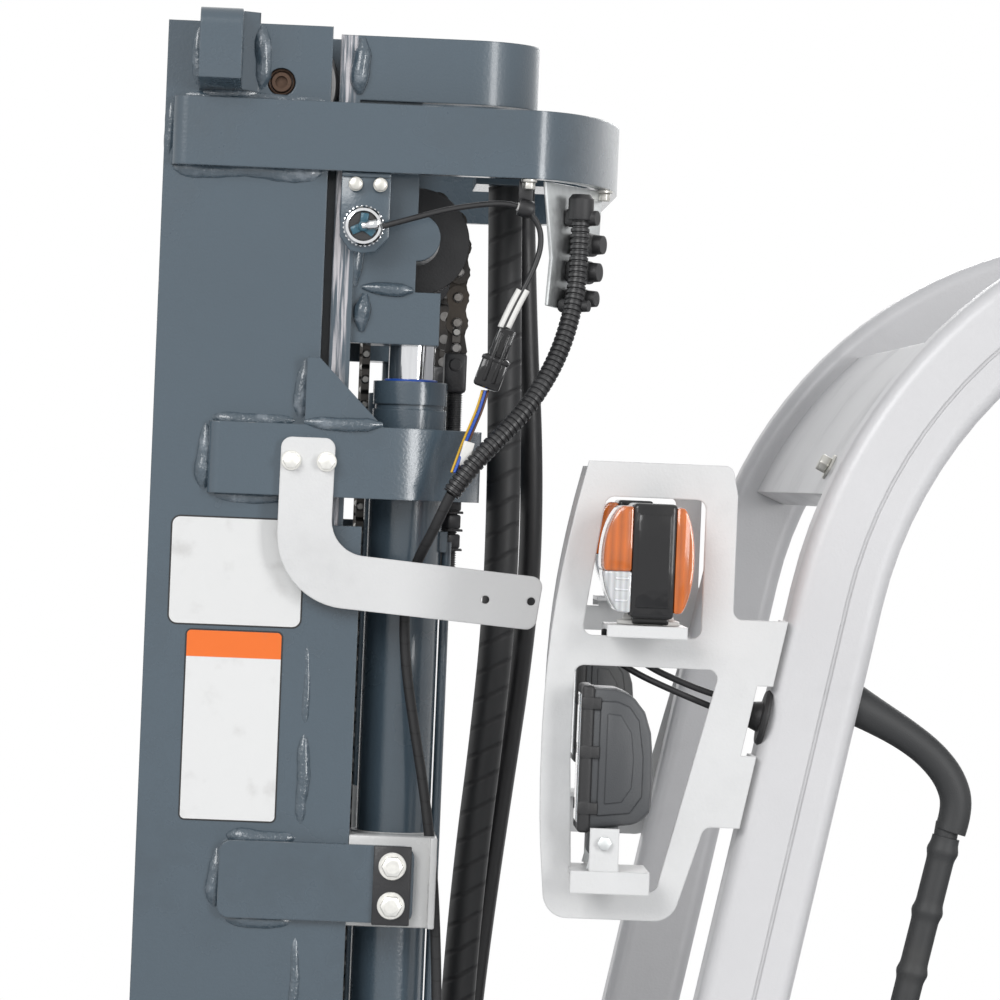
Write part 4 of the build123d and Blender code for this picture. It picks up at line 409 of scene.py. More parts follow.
def chain_strip(finish, pitch):
    """Distant run of a leaf chain: dark leaves, near-black lines between them painted as shade in the gaps,
    and bright pin ends that are lighter steel with a painted glint.
    """
    along = finish.axis("Z").repeat(pitch) - 0.5
    across = abs(finish.axis("X") - SHEAVE.x) - CHAIN_RADIUS
    # Pin ends are lighter steel, and they are painted brighter still as a glint.
    pin = 1 - finish.step(along * along * pitch * pitch + across * across, 0.000006, 0.000016)
    # The lines between the leaves are painted near black, as shade in the gaps.
    gaps_and_shade = finish.step(abs(along), 0.4, 0.5)
    grease = finish.noise(90.0, 4.0)
    steel = finish.mix(grease, rgba((0.05, 0.045, 0.04)), rgba((0.17, 0.16, 0.15)))
    tone = finish.mix(pin, finish.mix(gaps_and_shade, steel, rgba((0.012, 0.011, 0.01))), rgba((0.42, 0.41, 0.39)))
    return finish.surface(tone, 0.3 + grease * 0.25, pin - gaps_and_shade, 0.0015, Metallic=0.8)


def sticker(finish, ground, band, band_low):
    """Blank printed film: a pale ground and one plain band across its head."""
    wear = finish.step(finish.noise(35.0, 6.0), 0.56, 0.82)
    head = finish.step(finish.axis("Z"), band_low, band_low + 0.0006)
    tone = finish.mix(head, rgba(ground), rgba(band))
    soiled = finish.mix(wear * 0.3, tone, rgba((0.22, 0.2, 0.18)))
    return finish.surface(soiled, 0.32 + wear * 0.25, finish.noise(260.0, 2.0), 0.00005)


def seat_vinyl(finish, colour):
    """Coated seat fabric with a leather grain and rubbed crowns."""
    grain = finish.cells(420.0, "DISTANCE_TO_EDGE")
    rub = finish.step(finish.noise(7.0, 5.0), 0.5, 0.8)
    tone = finish.mix(rub, rgba(colour), rgba(colour, 1.9))
    grained = finish.mix(finish.step(grain, 0.0, 0.06), rgba(colour, 0.5), tone)
    return finish.surface(grained, 0.46 + rub * 0.12,
                          finish.step(grain, 0.0, 0.12) + finish.noise(120.0) * 0.3, 0.00035)


def make_finishes(colours):
    """Every finish by the name that the pieces ask for."""
    table = {
        satin_paint: {
            "mast_paint": (colours.mast, grey(0.3), 0.35, 0.27, 0.35, 0.002, 0.5),
            "guard_paint": (colours.guard, grey(0.45), 0.12, 0.36),
            "bracket_white": (colours.bracket, grey(0.5), 0.15, 0.4),
            "hood_paint": (colours.hood, grey(0.4), 0.15, 0.34),
            "chassis_paint": (colours.chassis, grey(0.28), 0.3, 0.45),
            "black_paint": ((0.022, 0.022, 0.024), (0.24, 0.23, 0.22), 0.2, 0.38, 0.6),
            "wheel_paint": (colours.wheel, grey(0.4), 0.4, 0.4),
            "silver_paint": ((0.6, 0.6, 0.59), grey(0.3), 0.3, 0.3, 0.2, 0.0008),
        },
        rubbed_paint: {"inner_rail": (colours.mast, (0.338, 0.354))},
        weld_paint: {"weld": (colours.mast,)},
        cast_paint: {"casting": (colours.counterweight,), "dark_casting": ((0.035, 0.036, 0.038),)},
        bare_steel: {
            "rail_steel": (grey(0.36),),
            "chain_steel": ((0.055, 0.052, 0.05), 0.36, (90.0, 90.0, 90.0)),
            "pin_steel": ((0.3, 0.29, 0.28), 0.26, (40.0, 40.0, 40.0)),
            "burnt_steel": ((0.085, 0.055, 0.04), 0.42, (50.0, 50.0, 50.0)),
        },
        chrome: {"chrome": ()},
        plated: {
            "plated": (),
            "bright_zinc": ((0.84, 0.83, 0.79), 0.26),
            "galvanised": ((0.66, 0.68, 0.68), 0.36),
        },
        moulded_plastic: {
            "black_plastic": ((0.018, 0.018, 0.019),),
            "gloss_plastic": ((0.008, 0.008, 0.009), 0.12, 120.0, 0.05),
            "grey_plastic": ((0.055, 0.058, 0.062), 0.45),
            "battery_plastic": ((0.045, 0.048, 0.052),),
            "red_plastic": ((0.55, 0.012, 0.01), 0.25),
            "blue_plastic": ((0.01, 0.075, 0.42), 0.34, 500.0, 0.1),
            "sea_plastic": ((0.03, 0.105, 0.15), 0.3, 500.0, 0.1),
            "brown_plastic": ((0.1, 0.035, 0.012), 0.4, 500.0, 0.1),
            "yellow_plastic": ((0.72, 0.42, 0.02), 0.36, 500.0, 0.1),
            "white_plastic": ((0.72, 0.71, 0.68), 0.42, 500.0, 0.15),
            "handle_rubber": ((0.022, 0.023, 0.024), 0.55, 1100.0, 0.15),
        },
        rubber: {
            "tyre_rubber": ((0.028, 0.027, 0.026), 0.68),
            "hose_rubber": ((0.012, 0.012, 0.013), 0.42),
            "conduit": ((0.02, 0.02, 0.021), 0.38),
        },
        spiral_hose: {"spiral_hose": (0.5, 0.024)},
        taped_cable: {"taped_cable": (0.4, 0.019)},
        chain_strip: {"chain_strip": (CHAIN_PITCH,)},
        clear_lens: {
            "amber_lens": ((0.66, 0.145, 0.006), 0.007),
            "clear_lens": ((0.66, 0.67, 0.68), 0.005),
            "led_lens": ((0.5, 0.52, 0.54), 0.017),
        },
        sticker: {
            "white_film": ((0.7, 0.7, 0.69), (0.7, 0.7, 0.69), 3.0),
            "banded_film": ((0.72, 0.72, 0.71), (0.8, 0.16, 0.02), 1.61),
        },
        seat_vinyl: {"seat_vinyl": ((0.02, 0.02, 0.022),)},
    }
    return {name: maker(Finish(name), *values)
            for maker, rows in table.items() for name, values in rows.items()}


# The solids that wear each finish
FINISH_NODES = {
    "mast_paint": "outer_mast lift_cylinder_barrels",
    "inner_rail": "inner_mast",
    "chrome": "lift_cylinder_rods tilt_cylinder_rods",
    "rail_steel": "outer_mast_rollers",
    "chain_steel": "rear_chain_runs front_chain_runs",
    "plated": "chain_anchors height_sensor mast_fasteners tow_pin",
    "bracket_white": "j_bracket lamp_brackets",
    "guard_paint": "overhead_guard",
    "hood_paint": "battery_hood",
    "chassis_paint": "chassis_frame steer_axle",
    "casting": "counterweight",
    "dark_casting": "drive_axle traction_motor pump_unit steer_knuckle_left steer_knuckle_right",
    "black_paint": "chain_sheaves tilt_cylinder_barrels fork_carriage load_backrest fork_left fork_right "
                   "accelerator_pedal brake_pedal",
    "black_plastic": "harness_fittings front_cowl steering_column grab_handle seat_frame steering_wheel "
                     "horn_button direction_lever lift_lever tilt_lever",
    "gloss_plastic": "indicator_lamps",
    "grey_plastic": "work_lamp_left work_lamp_right",
    "battery_plastic": "battery",
    "red_plastic": "emergency_stop",
    "seat_vinyl": "seat_cushion seat_back_cushion",
    "wheel_paint": "front_wheel_left front_wheel_right rear_wheel_left rear_wheel_right",
    "tyre_rubber": "front_tyre_left front_tyre_right rear_tyre_left rear_tyre_right",
    "hose_rubber": "sensor_cable sensor_conduit mast_hoses",
}
finishes = {}


def dress(obj, finish):
    """Give an object one finish."""
    obj.data.materials.clear()
    obj.data.materials.append(finishes[finish])


def opened(mesh):
    """A bmesh from a mesh, which is used up."""
    shape = bmesh.new()
    shape.from_mesh(mesh)
    bpy.data.meshes.remove(mesh)
    return shape


def stored(name, shape):
    """A mesh from a bmesh, which is used up."""
    mesh = bpy.data.meshes.new(name)
    shape.to_mesh(mesh)
    shape.free()
    return mesh


def linked(name, data):
    """An object in the scene that shows some data."""
    holder = bpy.data.objects.new(name, data)
    bpy.context.scene.collection.objects.link(holder)
    return holder


def evaluated(holder):
    """The mesh of an object with its modifiers applied."""
    graph = bpy.context.evaluated_depsgraph_get()
    return bpy.data.meshes.new_from_object(holder.evaluated_get(graph))


def aimed(axis):
    """A rotation that turns Z to a direction."""
    return Vector(axis).to_track_quat("Z", "X").to_matrix().to_4x4()


def turn_about(centre, angle, axis):
    """A rotation about a point, in degrees."""
    turn = Matrix.Rotation(math.radians(angle), 4, Vector(axis))
    return Matrix.Translation(centre) @ turn @ Matrix.Translation(-Vector(centre))


def spoke(index, count):
    """One of a number of even directions round the truck's cross axis."""
    angle = math.tau * index / count
    return Vector((math.cos(angle), 0, math.sin(angle)))


def moved(shape, matrix):
    """The same bmesh, carried by a matrix."""
    bmesh.ops.transform(shape, matrix=matrix, verts=shape.verts)
    return shape


def joined(*shapes):
    """One bmesh from several, which are used up."""
    whole = bmesh.new()
    for shape in shapes:
        mesh = stored("part", shape)
        whole.from_mesh(mesh)
        bpy.data.meshes.remove(mesh)
    return whole


def mirrored(shape):
    """The same bmesh and its mirror image on the truck's other side."""
    bmesh.ops.mirror(shape, geom=shape.verts[:] + shape.edges[:] + shape.faces[:], axis="Y", merge_dist=-1.0)
    bmesh.ops.recalc_face_normals(shape, faces=shape.faces)
    return shape


def soften(shape, width, segments=2):
    """Round every sharp edge."""
    sharp = [edge for edge in shape.edges if edge.is_manifold and edge.calc_face_angle(0.0) > SHARP_ANGLE]
    bmesh.ops.bevel(shape, geom=sharp, offset=width, offset_type="OFFSET", affect="EDGES", segments=segments,
                    profile=0.5, material=-1, clamp_overlap=True)
    return shape


def block(low, high):
    """A box between two corners."""
    shape = bmesh.new()
    size = Vector(high) - Vector(low)
    place = Matrix.Translation((Vector(low) + Vector(high)) / 2) @ Matrix.Diagonal((*size, 1.0))
    bmesh.ops.create_cube(shape, size=1.0, matrix=place)
    return shape


def pad(low, high, width, segments=2):
    """A box between two corners, with rounded edges."""
    return soften(block(low, high), width, segments)


def plate(outline, depth, facing=LEFT, bevel=0.0):
    """A plate from outline points, swept by a depth along a direction, with soft edges."""
    shape = bmesh.new()
    face = shape.faces.new([shape.verts.new(point) for point in outline])
    swept_parts = bmesh.ops.extrude_face_region(shape, geom=[face])["geom"]
    corners = [part for part in swept_parts if isinstance(part, bmesh.types.BMVert)]
    bmesh.ops.translate(shape, verts=corners, vec=Vector(facing) * depth)
    bmesh.ops.recalc_face_normals(shape, faces=shape.faces)
    if bevel:
        soften(shape, bevel)
    return shape


def swept(outline, low_y, high_y, bevel):
    """A side outline of (x, z) points, swept across the truck."""
    return plate([(x, low_y, z) for x, z in outline], high_y - low_y, LEFT, bevel)


def turned(profile, centre, axis, steps):
    """A body of revolution from (radius, height) points, with height along an axis."""
    shape = bmesh.new()
    corners = [shape.verts.new((radius, 0.0, height)) for radius, height in profile]
    for first, second in zip(corners, corners[1:]):
        shape.edges.new((first, second))
    bmesh.ops.spin(shape, geom=shape.verts[:] + shape.edges[:], cent=(0, 0, 0), axis=(0, 0, 1),
                   angle=math.tau, steps=steps, use_merge=True)
    bmesh.ops.remove_doubles(shape, verts=shape.verts, dist=1e-6)
    bmesh.ops.recalc_face_normals(shape, faces=shape.faces)
    return moved(shape, Matrix.Translation(centre) @ aimed(axis))


def solid_turn(centre, axis, steps, *profile):
    """A turned body that is closed on its axis, from (radius, height) points in millimetres."""
    return turned(metres((0, profile[0][1]), *profile, (0, profile[-1][1])), centre, axis, steps)


def ring_turn(centre, axis, steps, *profile):
    """A turned ring from (radius, height) points in millimetres."""
    return turned(metres(*profile, profile[0]), centre, axis, steps)


def curve_data(kind, points):
    """Curve data with one open spline through points, and that spline."""
    data = bpy.data.curves.new("route", "CURVE")
    data.dimensions = "3D"
    spline = data.splines.new(kind)
    spline.points.add(len(points) - 1)
    for point, place in zip(spline.points, points):
        point.co = (*place, 1.0)
    return data, spline


def curve_mesh(data):
    """The mesh of curve data, which are used up."""
    holder = bpy.data.objects.new("route", data)
    mesh = bpy.data.meshes.new_from_object(holder)
    bpy.data.objects.remove(holder)
    bpy.data.curves.remove(data)
    return mesh


def tube(points, radii, rings):
    """A closed mesh tube through points, with a radius at each."""
    data, spline = curve_data("POLY", points)
    data.bevel_depth = 1.0
    data.bevel_resolution = rings
    data.use_fill_caps = True
    for point, radius in zip(spline.points, radii):
        point.radius = radius
    shape = opened(curve_mesh(data))
    bmesh.ops.remove_doubles(shape, verts=shape.verts, dist=1e-6)
    bmesh.ops.recalc_face_normals(shape, faces=shape.faces)
    return shape


def smooth_spline(route):
    """Curve data with one open NURBS spline along a route."""
    data, spline = curve_data("NURBS", route)
    data.resolution_u = 12
    spline.order_u = 3
    spline.use_endpoint_u = True
    return data


def route_line(route):
    """Points along the smooth spline of a route."""
    mesh = curve_mesh(smooth_spline(route))
    points = [vertex.co.copy() for vertex in mesh.vertices]
    bpy.data.meshes.remove(mesh)
    return points


def line_length(points):
    """Length of a line of points."""
    return sum((second - first).length for first, second in zip(points, points[1:]))


def spaced(points, pitch):
    """Points at an even pitch along a line of points."""
    points = [Vector(point) for point in points]
    ends = [0.0]
    for first, second in zip(points, points[1:]):
        ends.append(ends[-1] + (second - first).length)
    count = max(2, round(ends[-1] / pitch) + 1)
    spots = []
    leg = 0
    for index in range(count):
        along = ends[-1] * index / (count - 1)
        while leg < len(points) - 2 and ends[leg + 1] < along:
            leg += 1
        part = (along - ends[leg]) / (ends[leg + 1] - ends[leg])
        spots.append(points[leg].lerp(points[leg + 1], part))
    return spots


# Weld beads: pitch of their ripples, how much they swell, and how far they wander, both per radius
BEAD_PITCH = 0.0045
BEAD_RIPPLE = 0.14
BEAD_WANDER = 0.12
# How much wider a bead is laid than its line asks for
BEAD_GAIN = 1.35


def bead(points, radius):
    """A weld bead: a rippled tube that wanders a little about its line."""
    spots = spaced(points, BEAD_PITCH)
    radii = []
    for index, spot in enumerate(spots):
        swell = math.sin(index * 1.7) * 0.25 + math.sin(index * 0.31 + radius * 900) * 0.9
        taper = min(1.0, 0.35 + 0.25 * min(index, len(spots) - 1 - index))
        radii.append(radius * taper * (1.0 + BEAD_RIPPLE * swell))
        spot += Vector((math.sin(index * 0.53), 0.0, math.cos(index * 0.41))) * radius * BEAD_WANDER
    return tube(spots, radii, 2)


def bead_lines(rows):
    """All beads of a table, on both sides of the truck."""
    beads = []
    for radius, y, *line in rows:
        beads.append(bead(metres(*((x, y, z) for x, z in line)), radius / 1000 * BEAD_GAIN))
    return mirrored(joined(*beads))


def bolt(place, axis, across, height, washer=0.0, socket=False):
    """A bolt head that stands on a face: a washer, and a hexagon or a socketed cap."""
    reach = across / 2
    parts = []
    base = 0.0
    if washer:
        base = WASHER_HEIGHT
        rim = [(0, 0), (washer, 0), (washer, base * 0.8), (washer * 0.96, base), (0, base)]
        parts.append(turned(rim, place, axis, 28))
    if socket:
        top = base + height
        floor = top - height * 0.55
        rim = [(0, base), (reach, base), (reach, top - 0.001), (reach * 0.9, top), (reach * 0.58, top),
               (reach * 0.55, floor), (0, floor)]
        parts.append(turned(rim, place, axis, 24))
    else:
        head = bmesh.new()
        corner = reach * HEXAGON_CORNER
        bmesh.ops.create_cone(head, cap_ends=True, segments=6, radius1=corner, radius2=corner, depth=height)
        soften(head, height * 0.14)
        middle = Vector(place) + Vector(axis) * (base + height / 2)
        parts.append(moved(head, Matrix.Translation(middle) @ aimed(axis)))
    return joined(*parts)


def place_piece(name, shape, body, finish, replaces=(), smooth=35.0):
    """Turn a finished bmesh into a piece that rides on a body."""
    mesh = stored(name, shape)
    mesh.shade_smooth()
    mesh.set_sharp_from_angle(angle=math.radians(smooth))
    piece = linked(name, mesh)
    dress(piece, finish)
    if body:
        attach(piece, body)
    if replaces:
        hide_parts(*replaces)
    return piece


def mast_piece(name, slot, finish, node, *shapes, both=False):
    """Join shapes, on one side or both, into a piece of the outer mast that stands in for a solid."""
    shape = joined(*shapes)
    place_piece(name, mirrored(shape) if both else shape, "outer_mast", finish, [node])


def lay_cord(name, route, diameter, finish, body="outer_mast", replaces=()):
    """A round cord along one smooth spline, riding on one body."""
    data = smooth_spline(route)
    data.name = name
    data.bevel_depth = diameter / 2
    data.bevel_resolution = 6
    data.use_fill_caps = True
    cord = linked(name, data)
    dress(cord, finish)
    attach(cord, body)
    if replaces:
        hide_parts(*replaces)
    line_length(route_line(route))


def paint_property(name, thing, default):
    """A colour property for the paint of one thing."""
    return FloatVectorProperty(name=name, description=f"Paint of the {thing}", subtype="COLOR", size=3,
                               default=default)


def angle_property(name, description, degrees):
    """An angle property with its default in degrees."""
    return FloatProperty(name=name, description=description, subtype="ANGLE", default=math.radians(degrees))


class TruckColours(PropertyGroup):
    """Paint colours of the truck."""
    mast: paint_property("Mast", "mast", (0.062, 0.09, 0.114))
    guard: paint_property("Guard", "overhead guard", (0.6, 0.595, 0.6))
    bracket: paint_property("Brackets", "small white brackets", (0.66, 0.66, 0.655))
    hood: paint_property("Hood", "battery hood", (0.36, 0.38, 0.4))
    chassis: paint_property("Chassis", "chassis", (0.05, 0.054, 0.058))
    counterweight: paint_property("Counterweight", "counterweight", (0.1, 0.115, 0.13))
    wheel: paint_property("Wheels", "wheel rims", (0.5, 0.5, 0.5))


class TruckView(PropertyGroup):
    """The photograph's viewpoint."""
    lens: FloatProperty(name="Lens", description="Focal length", subtype="DISTANCE_CAMERA", default=173.6)
    roll: angle_property("Roll", "Turn of the camera about its own axis", 2.33)
    yaw: angle_property("Yaw", "Turn of the camera towards the rear of the truck", 1.99)
    pitch: angle_property("Pitch", "Downward tilt of the camera", 0.175)
    place: FloatVectorProperty(name="Place", description="Where the camera stands", subtype="TRANSLATION",
                               unit="LENGTH", default=(0.345, 4.47, 1.766))


class TRUCK_OT_finishes(Operator):
    """Give every solid its finish"""
    bl_idname = "truck.finishes"
    bl_label = "Finishes"

    def execute(self, context):
        finishes.update(make_finishes(context.scene.truck_colours))
        for finish, nodes in FINISH_NODES.items():
            for node in nodes.split():
                dress(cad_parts[node], finish)
        return {"FINISHED"}


class TRUCK_OT_welds(Operator):
    """Lay the weld beads of the mast's ties, lugs and brackets"""
    bl_idname = "truck.welds"
    bl_label = "Weld beads"

    def execute(self, context):
        place_piece("mast_welds", bead_lines(MAST_BEADS), "outer_mast", "weld", smooth=60.0)
        place_piece("inner_welds", bead_lines(INNER_BEADS), "inner_mast", "weld", smooth=60.0)
        return {"FINISHED"}


class TRUCK_OT_sensor(Operator):
    """Fit the height sensor and its plate under the top tie"""
    bl_idname = "truck.sensor"
    bl_label = "Height sensor"

    def execute(self, context):
        node = "height_sensor"
        low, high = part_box(node)
        front = SENSOR_FACE_Y + 0.002
        outline = [(low.x, 1.972), (low.x, high.z), (high.x, high.z), (high.x, 1.972), (0.339, 1.96),
                   (0.328, low.z), (0.317, 1.96)]
        bracket = swept(outline, SENSOR_FACE_Y - 0.004, SENSOR_FACE_Y, 0.001)
        tab = pad((low.x, 0.366, 2.0225), (high.x, front, high.z), 0.0012)
        mast_piece("sensor_plate", "mast_paint", "mast_paint", node, bracket, tab)
        eye = Vector((0.328, SENSOR_FACE_Y, 1.981))
        teeth = 56
        nut = plate([eye + spoke(index, teeth) * (0.018 if index % 2 else 0.0165) for index in range(teeth)],
                    0.005, LEFT, 0.0004)
        profile = metres((16.8, 0), (16.8, 6.2), (15.2, 8.2), (13, 8.6), (12.2, 7.2), (12, 0))
        rim = turned(profile, eye, LEFT, 40)
        relief = solid_turn(eye + Vector((0.001, 0.0105, 0)), Vector((-0.98, 0.16, 0.12)), 20, (3, 0), (3, 4),
                            (4.2, 6), (4.2, 12), (3.2, 14))
        mast_piece("sensor_ring", "chrome_rod", "chrome", node, nut, rim, relief)
        face = solid_turn(eye, LEFT, 32, (12.1, 0), (12.1, 6.6))
        mast_piece("sensor_face", "black_plastic", "black_plastic", node, face)
        wedges = []
        for index in range(3):
            blade = pad((0.3305, eye.y + 0.0062, 1.9775), (0.3392, eye.y + 0.0082, 1.9845), 0.001)
            wedges.append(moved(blade, turn_about(eye, 25 + 120 * index, LEFT)))
        hub = solid_turn(eye, LEFT, 24, (4.6, 0), (4.6, 10.5), (3.6, 11.5))
        mast_piece("sensor_insert", "black_plastic", "sea_plastic", node, hub, *wedges)
        barrel = solid_turn(eye, LEFT, 24, (9.5, -18), (9.5, -3))
        screws = [bolt((x, front, 2.0165), LEFT, 0.0098, 0.0045, 0.0062) for x in (0.336, 0.315)]
        mast_piece("sensor_screws", "plated_steel", "plated", node, barrel, *screws)
        return {"FINISHED"}


def chain_path(along):
    """Place of the chain at a length from the rear anchor, over the sheave and down."""
    rise = SHEAVE.z - CHAIN_FOOT
    wrap = math.pi * CHAIN_RADIUS
    if along < rise:
        return Vector((REAR_CHAIN_X, SHEAVE.y, CHAIN_FOOT + along))
    if along < rise + wrap:
        turn = math.pi - (along - rise) / CHAIN_RADIUS
        return SHEAVE + Vector((math.cos(turn), 0.0, math.sin(turn))) * CHAIN_RADIUS
    return Vector((FRONT_CHAIN_X, SHEAVE.y, SHEAVE.z - (along - rise - wrap)))


def chain_plate(first, second, y_low, thickness):
    """One leaf between two pins: a waisted stadium."""
    heading = (second - first).normalized()
    side = heading.cross(LEFT)
    reach = 0.0104
    outline = []
    for pin, way in ((second, 1.0), (first, -1.0)):
        for degrees in range(-75, 76, 25):
            turn = math.radians(degrees)
            outline.append(pin + (heading * math.cos(turn) * way + side * math.sin(turn) * way) * reach)
        outline.append((first + second) / 2 + side * way * reach * 0.7)
    return plate([Vector((point.x, y_low, point.z)) for point in outline], thickness)


class TRUCK_OT_chains(Operator):
    """Build the leaf chains, their sheaves' hubs and the threaded anchors"""
    bl_idname = "truck.chains"
    bl_label = "Lift chains"

    def execute(self, context):
        leaves = []
        pins = []
        spots = [chain_path(0.004 + index * CHAIN_PITCH) for index in range(CHAIN_PINS)]
        for index, (first, second) in enumerate(zip(spots, spots[1:])):
            rows = (0.2392, 0.2472, 0.2552) if index % 2 else (0.2432, 0.2512)
            leaves.extend(chain_plate(first, second, y_low, 0.0036) for y_low in rows)
        for spot in spots:
            profile = [(0, 0), (PIN_RADIUS, 0), (PIN_RADIUS, 0.0222), (PIN_RADIUS * 0.7, 0.0236), (0, 0.0238)]
            pins.append(turned(profile, Vector((spot.x, 0.2382, spot.z)), LEFT, 16))
        for name, parts, slot, finish in (("chain_leaves", leaves, "dark_steel", "chain_steel"),
                                          ("chain_pins", pins, "rail_steel", "pin_steel")):
            place_piece(name, mirrored(joined(*parts)), "inner_mast", finish, ["rear_chain_runs"])

        for side, sign in (("left", 1), ("right", -1)):
            near_y, far_y = sorted((sign * 0.2405, sign * 0.2595))
            for run, x, first, last, from_body, to_body in (
                    ("rear", REAR_CHAIN_X, CHAIN_FOOT, 1.905, "outer_mast", "inner_mast"),
                    ("front", FRONT_CHAIN_X, 1.935, 0.42, "inner_mast", "carriage")):
                low, high = sorted((first, last))
                strip = place_piece(f"{run}_chain_{side}",
                                    block((x - 0.0035, near_y, low), (x + 0.0035, far_y, high)), None,
                                    "chain_strip", [f"{run}_chain_runs"])
                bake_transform(strip)

        hubs = solid_turn(SHEAVE + LEFT * 0.0155, LEFT, 32, (21, 0), (21, 4), (18, 6), (10, 6), (10, 9.5))
        place_piece("sheave_hubs", mirrored(hubs), "sheaves", "rail_steel")

        thread = []
        for turn in range(79):
            thread.extend([(6.4, turn * 2), (7.8, turn * 2 + 1)])
        rod = solid_turn((REAR_CHAIN_X, CHAIN_Y, 1.69), UP, 18, *thread, (6.4, 158))
        clevis = pad((REAR_CHAIN_X - 0.01, 0.2375, 1.845), (REAR_CHAIN_X + 0.01, 0.2625, CHAIN_FOOT), 0.003)
        eye = solid_turn((REAR_CHAIN_X, 0.2365, 1.8695), LEFT, 16, (5, 0), (5, 27))
        nuts = [bolt((REAR_CHAIN_X, CHAIN_Y, z), UP, 0.0205, 0.0125, 0.0125) for z in (1.707, 1.724, 1.7395)]
        for name, parts in (("anchor_rods", (rod, clevis, eye)), ("anchor_nuts", nuts)):
            mast_piece(name, "plated_steel", "black_paint", "chain_anchors", *parts, both=True)
        return {"FINISHED"}


class TRUCK_OT_fasteners(Operator):
    """Add the cylinder clamps, bolts, wiper rings and the rollers' cap screws"""
    bl_idname = "truck.fasteners"
    bl_label = "Mast fasteners"

    def execute(self, context):
        node = "mast_fasteners"
        low, high = 1.386, 1.464
        strap = ring_turn((CYLINDER_X, CYLINDER_Y, 1.3855), UP, 48, (32, 0), (36.8, 0), (37.2, 3), (37.2, 76),
                          (36.8, 79), (32, 79))
        web = pad((0.246, 0.33, low), (0.322, MAST_FACE_Y, high), 0.0025)
        flange = pad((0.244, 0.326, low), (0.25, 0.3715, high), 0.0015)
        mast_piece("cylinder_clamps", "silver_paint", "silver_paint", node, strap, web, flange, both=True)
        face = MAST_FACE_Y + 0.008
        head_y = face + 0.0035
        tab = pad((0.2655, face, 1.3885), (0.2975, head_y, 1.456), 0.001)
        mast_piece("clamp_tabs", "dark_steel", "black_paint", node, tab, both=True)
        bright = []
        for height in (1.4055, 1.439):
            spot = Vector((CYLINDER_X, head_y, height))
            bright.append(bolt(spot, LEFT, 0.0165, 0.0075, 0.0118))
            bright.append(solid_turn(spot + LEFT * 0.0097, LEFT, 20, (5.6, 0), (5.6, 0.6)))
        mast_piece("clamp_bolts", "plated_steel", "bright_zinc", node, *bright, both=True)
        centre = (0.4025, MAST_FACE_Y - 0.008, 2.101)
        cap = bolt(centre, LEFT, 0.018, 0.0078, socket=True)
        ring = ring_turn(centre, LEFT, 32, (9.6, 0), (11.8, 0), (11.8, 6), (10.5, 7.2), (9.6, 6.6))
        mast_piece("roller_screws", "dark_steel", "burnt_steel", node, cap, ring, both=True)
        screws = [bolt((x, 0.383, 1.78), LEFT, 0.0128, 0.0058, 0.0086) for x in (0.381, 0.351)]
        mast_piece("bracket_bolts", "plated_steel", "bright_zinc", node, *screws)
        wiper = ring_turn((CYLINDER_X, CYLINDER_Y, 1.852), UP, 40, (20.5, 0), (23.2, 0), (23.2, 1.4),
                          (21.5, 2.2), (20.5, 2.2))
        place_piece("rod_wipers", mirrored(wiper), "outer_mast", "blue_plastic")
        return {"FINISHED"}


def ribbed_tube(points, radius, pitch):
    """Corrugated conduit: rounded ribs and narrow grooves along a line."""
    steps = 6
    spots = spaced(points, pitch / steps)
    radii = [radius * (0.84 if index % steps < 2 else 1.0) for index in range(len(spots))]
    return tube(spots, radii, 5)


